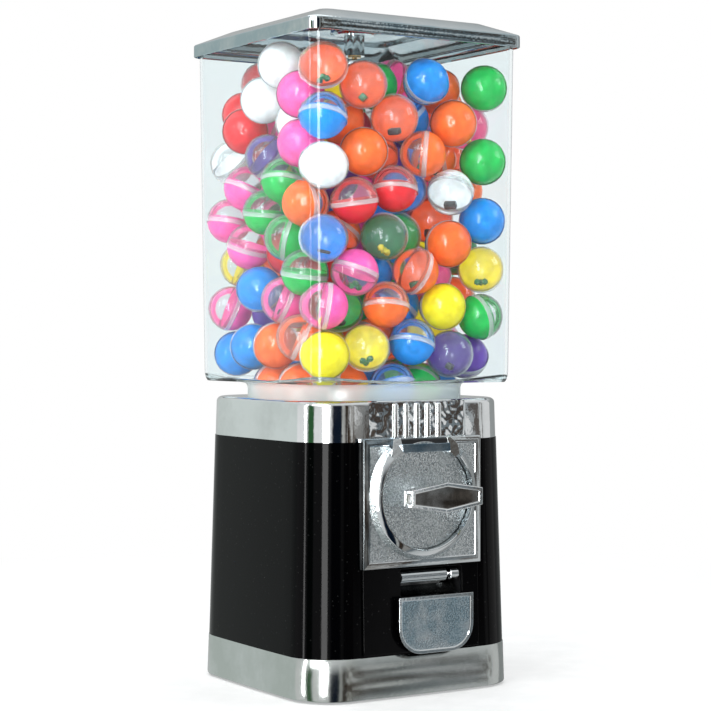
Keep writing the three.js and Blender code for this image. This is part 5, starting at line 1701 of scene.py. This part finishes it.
@dataclass
class PileRules:
    """How the loose capsules settle: the same rules as the frame's own pile, in millimetres."""

    radius: float = 23.0
    count: int = 178
    seed: int = 20261
    steps: int = 900
    settle: int = 640
    fall: float = 0.5
    renew: int = 10
    margin: float = 24.0
    wall: float = 2.6
    gap: float = 0.3
    corner: float = 19.0
    lift: float = 0.15
    neck: float = 105.0
    neck_height: float = 19.6
    collar: float = 6.0
    flare: float = 5.0
    nut: float = 7.0
    keeper: float = 16.0
    half: float = 113.9
    top_half: float = 117.9
    globe: Box = field(default_factory=lambda: Box.of("globe"))
    cover: Box = field(default_factory=lambda: Box.of("outlet_cover"))
    cage: Box = field(default_factory=lambda: Box.of("lock_keeper"))

    @property
    def shoulder(self) -> float:
        """The height of the globe's underside at the neck."""
        return round(self.globe.low.z + self.neck_height + self.collar, 2)

    @property
    def top(self) -> float:
        """The globe's upper edge."""
        return round(self.globe.high.z, 2)

    def centres(self) -> list[list[float]]:
        """The capsules' centres once they rest.

        Returns:
            A list of [x, y, z].
        """
        low = round(self.cover.high.z, 2) + self.radius + 1
        high = self.top - self.radius + 5
        drawn = list(islice(numbers(self.seed), 3 * self.count))
        span = self.half - self.wall - self.radius
        rise = high - self.shoulder - self.radius
        centres = [[(2 * drawn[3 * i] - 1) * span, (2 * drawn[3 * i + 1] - 1) * span,
                    self.shoulder + self.radius + drawn[3 * i + 2] * rise] for i in range(self.count)]
        pairs: list[tuple[int, int]] = []
        for step in range(self.steps):
            if step % self.renew == 0:
                pairs = self.near(centres, 2 * self.radius + self.margin)
            if step < self.settle:
                for c in centres:
                    c[2] -= self.fall
            for i, j in pairs:
                self.part(centres[i], centres[j], 2 * self.radius + 0.1)
            for c in centres:
                self.contain(c, low, high)
        return centres

    @staticmethod
    def near(centres: Sequence[Sequence[float]], reach: float) -> list[tuple[int, int]]:
        """The pairs of centres that lie close together.

        Args:
            centres: the centres.
            reach: how close.

        Returns:
            The pairs, by their numbers.
        """
        pairs = []
        for i, a in enumerate(centres):
            for j in range(i + 1, len(centres)):
                b = centres[j]
                if (b[0] - a[0]) ** 2 + (b[1] - a[1]) ** 2 + (b[2] - a[2]) ** 2 < reach * reach:
                    pairs.append((i, j))
        return pairs

    @staticmethod
    def part(a: list[float], b: list[float], distance: float) -> None:
        """Moves two centres evenly apart where they are too close.

        Args:
            a: the first centre, changed in place.
            b: the second one, changed in place.
            distance: the least distance between them.
        """
        dx, dy, dz = b[0] - a[0], b[1] - a[1], b[2] - a[2]
        square = dx * dx + dy * dy + dz * dz
        if square >= distance * distance or square == 0:
            return
        length = math.sqrt(square)
        push = (distance - length) / 2 / length
        for k, move in enumerate((dx, dy, dz)):
            a[k] -= move * push
            b[k] += move * push

    def contain(self, c: list[float], low: float, high: float) -> None:
        """Keeps a centre inside the globe, on its underside or in its neck, and off the centre rod.

        Args:
            c: the centre, changed in place.
            low: the lowest that it may lie.
            high: the highest.
        """
        radius = self.radius
        share = (c[2] - self.shoulder) / (self.top - self.shoulder)
        wall = self.half + (self.top_half - self.half) * share - self.wall - radius - self.gap
        for k in (0, 1):
            c[k] = max(-wall, min(wall, c[k]))
        corner = wall - (self.corner - self.wall) + radius
        past = [abs(c[k]) - corner for k in (0, 1)]
        if min(past) > 0:
            out = math.sqrt(past[0] * past[0] + past[1] * past[1])
            most = max(self.corner - self.wall - radius, 0.01)
            if out > most:
                for k in (0, 1):
                    c[k] = math.copysign(corner + past[k] * most / out, c[k])
        across = math.sqrt(c[0] * c[0] + c[1] * c[1])
        obstacle = radius + 1 + (self.keeper if c[2] > self.cage.low.z - radius else self.nut)
        if 0 < across < obstacle:
            c[0] *= obstacle / across
            c[1] *= obstacle / across
        floor_z = self.shoulder + self.wall + self.gap
        rim = self.neck - self.wall
        neck = rim - radius - self.gap
        if across >= rim:
            c[2] = max(c[2], floor_z + self.lift * max(0.0, across - self.neck - self.flare) + radius)
        elif c[2] < floor_z:
            if across > neck:
                c[0] *= neck / across
                c[1] *= neck / across
        else:
            reach, rise = rim - across, c[2] - floor_z
            gap = math.sqrt(reach * reach + rise * rise)
            if 0 < gap < radius:
                push = (radius - gap) / gap
                c[0] -= c[0] / across * reach * push
                c[1] -= c[1] / across * reach * push
                c[2] += rise * push
        c[2] = max(low, min(high, c[2]))


class Toy(Enum):
    """What lies in a capsule."""

    RING = "ring"
    BEADS = "beads"
    BRICK = "brick"


# Colour and, after a slash, the way its clear half looks, from the top row to the bottom one. Plain words show
# their coloured half.
LEFT_ROWS = (
    "red/near white pink/near",
    "red white pink",
    "white/left purple/left pink",
    "pink/up green/up orange/right",
    "pink/up green/left orange/right",
    "yellow/left blue green/up",
    "pink/left pink/left orange/left",
    "blue orange pink",
)
FRONT_ROWS = (
    "orange/near blue/right blue orange",
    "blue/up orange/near orange green",
    "white orange orange/left green",
    "white red/up white/down blue/up",
    "blue/near forest/near red orange blue",
    "pink/up pink/down orange/left yellow/near",
    "pink/left forest orange/up yellow green/right",
    "yellow yellow/near blue/up purple/near yellow",
)
WAYS = {
    "near": Vector((-0.5, -0.85, 0.1)),
    "up": Vector((0.1, 0.1, 1)),
    "down": Vector((-0.2, -0.2, -1)),
    "left": Vector((-0.85, 0.3, 0.35)),
    "right": Vector((0.9, -0.3, 0.2)),
    "": Vector((0.5, 0.85, -0.1)),
}
HIDDEN = "orange pink blue yellow green orange pink white red orange green blue purple forest"


@dataclass
class Capsules:
    """The capsules in the globe and in the wheel's pockets."""

    radius: float = 22.6
    shell: float = 0.9
    lip: float = 4.6
    steps: int = 26
    seed: int = 7
    rules: PileRules = field(default_factory=PileRules)

    def build(self) -> None:
        """Builds the loose pile, joined by colour, and the capsules in the pockets."""
        cup, cap = self.cup(), self.cap()
        kinds = [self.toy(toy) for toy in Toy]
        halves: dict[Colour, Shape] = {}
        clear, toys = Shape(), Shape()
        draw = numbers(self.seed)
        for place in self.rules.centres():
            colour, aim = self.choose(Vector(place), draw)
            turn = self.turned(Vector(place), aim)
            halves.setdefault(colour, Shape()).stamp(cup, turn)
            clear.stamp(cap, turn)
            low = Vector(place) - AXIS_Z * self.radius * 0.55
            lean = Vector((next(draw) - 0.5, next(draw) - 0.5, 0.6)).normalized()
            toys.stamp(kinds[int(next(draw) * len(kinds))], self.turned(low, lean), int(next(draw) * 3))
        stands_for = ["capsule_pile"]
        for colour in Colour:
            if colour in halves:
                halves[colour].piece(f"capsules_{colour.name.lower()}", "cabinet", [colour.finish(), colour.inside()],
                                     stands_for, tidy=False)
                stands_for = []
        clear.piece("capsules_clear", "cabinet", [CLEAR_HALF, CLEAR_LIP], tidy=False)
        finishes = [Colour.YELLOW.finish(), Colour.FOREST.finish(), BLACK_PLASTIC]
        toys.piece("capsule_toys", "cabinet", finishes, tidy=False)
        for i, colour in enumerate((Colour.ORANGE, Colour.BLUE, Colour.PINK)):
            self.pocket(i + 1, colour, cup, cap)

    @staticmethod
    def turned(place: Vector, aim: Vector) -> Matrix:
        """The matrix that carries a template whose clear half looks up to its place."""
        return Matrix.Translation(place) @ aim.to_track_quat("Z", "Y").to_matrix().to_4x4()

    def pocket(self, number: int, colour: Colour, cup: bpy.types.Mesh, cap: bpy.types.Mesh) -> None:
        """A capsule in one of the wheel's pockets.

        Args:
            number: the pocket's number.
            colour: the capsule's colour.
            cup: the coloured half.
            cap: the clear half.
        """
        node = f"pocket_capsule_{number}"
        shape = Shape()
        turn = self.turned(Box.of(node).middle, Vector((0.3, 0.2 * number, 1)).normalized())
        shape.stamp(cap, turn)
        for f in shape.bm.faces:
            f.material_index += 2
        shape.stamp(cup, turn)
        finishes = [colour.finish(), colour.inside(), CLEAR_HALF, CLEAR_LIP]
        shape.piece(f"wheel_capsule_{number}", "wheel", finishes, [node], tidy=False)

    def choose(self, place: Vector, draw: Iterator[float]) -> tuple[Colour, Vector]:
        """A capsule's colour, and the way that its clear half looks.

        Args:
            place: its centre.
            draw: the run of numbers.

        Returns:
            The colour and a direction.
        """
        rules = self.rules
        depth = rules.half - 1.9 * self.radius
        height = (rules.top - place.z) / (rules.top - rules.shoulder)
        left, front = place.x < -depth, place.y < -depth
        spin = Vector((next(draw) - 0.5, next(draw) - 0.5, next(draw) - 0.5))
        if not (left or front):
            words = HIDDEN.split()
            return Colour[words[int(next(draw) * len(words))].upper()], spin.normalized()
        rows = FRONT_ROWS if front else LEFT_ROWS
        words = rows[max(0, min(len(rows) - 1, int(height * len(rows))))].split()
        across = place.x if front else -place.y
        share = (across + rules.half) / (2 * rules.half)
        word, _, way = words[max(0, min(len(words) - 1, int(share * len(words))))].partition("/")
        return Colour[word.upper()], (WAYS[way] + spin * 0.7).normalized()

    def arc(self) -> list[float]:
        """The angles of the points that draw a half."""
        return [math.radians(a) for a in (0, 14, 28, 42, 56, 68, 79)]

    def cup(self) -> bpy.types.Mesh:
        """The coloured half: a round cup with a thin wall, a lip that the clear half laps over and a dimple.

        Returns:
            The half as a mesh for stamping.
        """
        shape = Shape()
        outer, inner = self.radius - 0.5, self.radius - 0.5 - self.shell
        hole = outer * 0.06
        profile = [(0, -outer + 0.8), (hole, -outer + 0.5)]
        profile += [(outer * math.cos(a), -outer * math.sin(a)) for a in reversed(self.arc())]
        profile += [(outer - 0.6, 0.2), (outer - 0.6, 2.2), (inner - 0.5, 2.2), (inner - 0.1, 0)]
        profile += [(inner * math.cos(a), -inner * math.sin(a)) for a in self.arc()[2::2]] + [(0, -inner)]
        shape.spun(profile, AXIS_Z, AXIS_X, steps=self.steps)
        # The inner faces get the finish with the stronger emission: painted light.
        shape.paint(1, lambda f: f.calc_center_median().length < outer - self.shell * 0.6 and
                    f.normal.dot(f.calc_center_median()) < 0)
        return shape.template("cup")

    def cap(self) -> bpy.types.Mesh:
        """The clear half: a dome, and a beaded lip that laps over the cup.

        Returns:
            The half as a mesh for stamping.
        """
        shape = Shape()
        radius = self.radius
        dome = [(radius * math.cos(a), radius * math.sin(a)) for a in self.arc()] + [(0, radius)]
        shape.spun(dome, AXIS_Z, AXIS_X, steps=self.steps)
        lip = [(radius, 0.0), (radius + 0.25, -0.5), (radius + 0.05, -1.2), (radius, -self.lip + 0.9),
               (radius + 0.25, -self.lip + 0.4), (radius - 0.2, -self.lip)]
        shape.tint(shape.spun(lip, AXIS_Z, AXIS_X, steps=self.steps), 1)
        return shape.template("cap")

    def toy(self, kind: Toy) -> bpy.types.Mesh:
        """A small toy, about its own middle.

        Args:
            kind: which toy.

        Returns:
            The toy as a mesh for stamping.
        """
        shape = Shape()
        if kind is Toy.RING:
            ring = [(5 + 1.6 * math.cos(a), 1.6 * math.sin(a)) for a in (k * math.pi / 3 for k in range(6))]
            shape.spun(ring, AXIS_Z, AXIS_X, steps=12, closed=True)
        elif kind is Toy.BEADS:
            for k in range(3):
                ball = bmesh.ops.create_icosphere(shape.bm, subdivisions=1, radius=3.6)["verts"]
                bmesh.ops.translate(shape.bm, vec=AXIS_X * 4.2, verts=ball)
                shape.tilt(ball, 120 * k, "Z", (0, 0, 0))
        else:
            made = shape.cube((-6, -3.5, -3), (6, 3.5, 3))
            shape.bevel(shape.edges_of(made, lambda e: True), 1.2, 2)
        return shape.template(kind.value)


# ------------------------------------------------------------------------------------------------ inner works
@dataclass
class InnerWorks:
    """The wheel, its housing and the centre rod, which keep their frame shapes."""

    def build(self) -> None:
        """Dresses each node."""
        dress(BLACK_PLASTIC, "wheel_housing")
        dress(WHITE_PLASTIC, "dispensing_wheel", "crown_gear")
        dress(STEEL, "outlet_cover", "tie_rod", "housing_washer", "housing_nut", "cover_nut", "lock_keeper",
              "keeper_nut")
        dress(BRASS, "axle_sleeve")


# ------------------------------------------------------------------------------------------------ studio
@dataclass
class Studio:
    """The pale floor, the soft surroundings, the lamps and the camera."""

    camera_place: tuple = (-1.035, -1.638, 0.342)
    camera_turn: float = -32.33
    lens: float = 99.2
    shift: float = -0.0367
    floor_radius: float = 2.4
    floor_gap: float = 0.0002
    aim_height: float = 0.33
    # Degrees round the machine from +X, a tone there, and how bright it is.
    walls: tuple = (
        (0, "c8cccc", 0.9), (40, "b9bdbd", 0.9), (80, "d9dcdb", 1.2), (108, "c6cdca", 1.75), (146, "c6cdca", 1.75),
        (149, "ffffff", 1.25), (178, "ffffff", 1.25), (182, "4c8a55", 0.6), (194, "4c8a55", 0.6),
        (197, "ffffff", 1.25), (235, "ffffff", 1.2), (240, "1b2c44", 0.5), (260, "22344a", 0.5),
        (263, "dfe0dd", 1.0), (269, "d0cdc8", 0.9), (271, "3a2c22", 0.4), (276, "6d5d50", 0.6),
        (279, "241c18", 0.3), (284, "c7c3bd", 0.9), (297, "bfbdba", 0.85), (304, "8c9ba4", 0.7),
        (315, "e9ecec", 1.05), (340, "ffffff", 1.1),
    )

    def build(self) -> None:
        """Builds the stage."""
        self.build_floor()
        self.build_world()
        self.build_lamps()
        self.build_camera()

    def build_floor(self) -> None:
        """A wide pale floor just under the feet."""
        made = bmesh.new()
        bmesh.ops.create_circle(made, cap_ends=True, segments=96, radius=self.floor_radius)
        bmesh.ops.translate(made, vec=(0, 0, Box.of("foot_1").low.z * MM - self.floor_gap), verts=made.verts)
        mesh = bpy.data.meshes.new("floor")
        made.to_mesh(mesh)
        made.free()
        mesh.materials.append(PaleFloor("pale_floor", "floor", colour="f3f4f4", rough=0.6, texture=0.01,
                                        depth=0.00001).material())
        floor = bpy.data.objects.new("floor", mesh)
        bpy.context.scene.collection.objects.link(floor)
        floor.visible_glossy = False

    def build_world(self) -> None:
        """White for the camera, and soft walls with a few darker bays for what the metal mirrors."""
        world = bpy.data.worlds.new("studio")
        world.use_nodes = True
        bpy.context.scene.world = world
        tree = Tree(world.node_tree)
        way = tree.add("TexCoord").outputs["Generated"]
        along = tree.add("SeparateXYZ", Vector=way).outputs
        walls = self.shelves(tree, way, along, self.stripes(tree, along))
        up = tree.spread(along["Z"], 0.0, 1.0, 0.3, 0.6)
        room = tree.blend(up, walls, (1.15, 1.17, 1.18, 1.0))
        path = tree.add("LightPath").outputs
        seen = tree.maths("MAXIMUM", path["Is Camera Ray"], path["Is Transmission Ray"])
        lit = tree.add("Background", Color=room, Strength=0.72).outputs[0]
        plain = tree.add("Background", Color=(1.0, 1.0, 1.0, 1.0), Strength=1.0).outputs[0]
        tree.add("OutputWorld", Surface=tree.add("MixShader", i0=seen, i1=lit, i2=plain).outputs[0])

    def stripes(self, tree: Tree, along: Mapping) -> bpy.types.NodeSocket:
        """The walls' upright stripes.

        Args:
            tree: the world's tree.
            along: the looked-at direction's X, Y and Z.

        Returns:
            Their colour.
        """
        bearing = tree.maths("ARCTAN2", along["Y"], along["X"])
        share = tree.maths("FRACT", tree.maths("ADD", tree.maths("DIVIDE", bearing, 2 * math.pi), 1.0))
        ramp = tree.add("ValToRGB", Fac=share)
        stops = ramp.color_ramp.elements
        while len(stops) > 1:
            stops.remove(stops[-1])
        for i, (degrees, code, bright) in enumerate(self.walls):
            stop = stops[0] if i == 0 else stops.new(degrees / 360)
            stop.position = degrees / 360
            stop.color = tone(code, bright)
        return ramp.outputs["Color"]

    @staticmethod
    def shelves(tree: Tree, way: object, along: Mapping, walls: object) -> bpy.types.NodeSocket:
        """A bay in front, toward the right, with dark and light things on shelves.

        Args:
            tree: the world's tree.
            way: the looked-at direction.
            along: its X, Y and Z.
            walls: the walls' colour.

        Returns:
            The walls' colour with the bay.
        """
        toward = tree.maths("SUBTRACT", tree.maths("MULTIPLY", along["X"], 0.53),
                            tree.maths("MULTIPLY", along["Y"], 0.85))
        bay = tree.spread(toward, 0.0, 1.0, 0.86, 0.93)
        things = noise(tree, way, 9.0, detail=2.0)
        dark = tree.maths("MULTIPLY", tree.spread(things, 0.0, 0.85, 0.53, 0.57), bay)
        light = tree.maths("MULTIPLY", tree.spread(things, 0.9, 0.0, 0.4, 0.45), bay)
        return tree.blend(light, tree.blend(dark, walls, tone("4a382a")), (1.2, 1.2, 1.2, 1.0))

    def build_lamps(self) -> None:
        """A broad lamp overhead, a key lamp on each side of the camera and two narrow upright strips."""
        self.lamp("overhead", 90, 75, 1.6, (1.4, 1.4), 14)
        self.lamp("key", 205, 32, 1.9, (0.9, 0.9), 15)
        self.lamp("fill", 320, 30, 2.0, (0.8, 0.8), 10, mirrored=False)
        self.lamp("near_strip", 224, 3, 2.2, (0.5, 2.2), 60, sheen=True)
        self.lamp("side_strip", 176, 3, 2.2, (0.16, 2.2), 14, sheen=True)

    @staticmethod
    def lamp(name: str, bearing: float, height: float, distance: float, size: tuple, power: float,
             sheen: bool = False, mirrored: bool = True) -> None:
        """An area lamp that looks at the machine.

        Args:
            name: its name.
            bearing: degrees round the machine from +X.
            height: degrees above the level of the machine's middle.
            distance: metres away.
            size: its width and height in metres.
            power: watts.
            sheen: whether it only shows as a highlight.
            mirrored: whether shiny surfaces mirror it.
        """
        data = bpy.data.lights.new(name, "AREA")
        data.shape = "RECTANGLE"
        data.size, data.size_y = size
        data.energy = power
        made = bpy.data.objects.new(name, data)
        bpy.context.scene.collection.objects.link(made)
        around, up = math.radians(bearing), math.radians(height)
        way = Vector((math.cos(around) * math.cos(up), math.sin(around) * math.cos(up), math.sin(up)))
        made.location = AXIS_Z * Studio.aim_height + way * distance
        made.rotation_euler = way.to_track_quat("Z", "Y").to_euler()
        made.visible_camera = False
        made.visible_diffuse = not sheen
        made.visible_glossy = mirrored

    def build_camera(self) -> None:
        """The camera: level, and turned to see the left side and the front."""
        data = bpy.data.cameras.new("camera")
        data.lens = self.lens
        data.sensor_width = 36.0
        data.shift_y = self.shift
        data.clip_end = 50.0
        camera = bpy.data.objects.new("camera", data)
        camera.location = self.camera_place
        camera.rotation_euler = (math.radians(90), 0, math.radians(self.camera_turn))
        bpy.context.scene.collection.objects.link(camera)
        bpy.context.scene.camera = camera


def main() -> None:
    """Builds every part of the machine and its stage, in order."""
    logging.basicConfig(level=logging.INFO, format="%(name)s: %(message)s")
    bpy.context.scene.view_settings.view_transform = "Standard"
    Studio().build()
    casing = Casing()
    casing.build()
    CoinMechanism().build()
    ChuteFront(casing).build()
    CashDrawer().build()
    Globe().build()
    Lid().build()
    InnerWorks().build()
    Capsules().build()


if __name__ == "__main__":
    main()
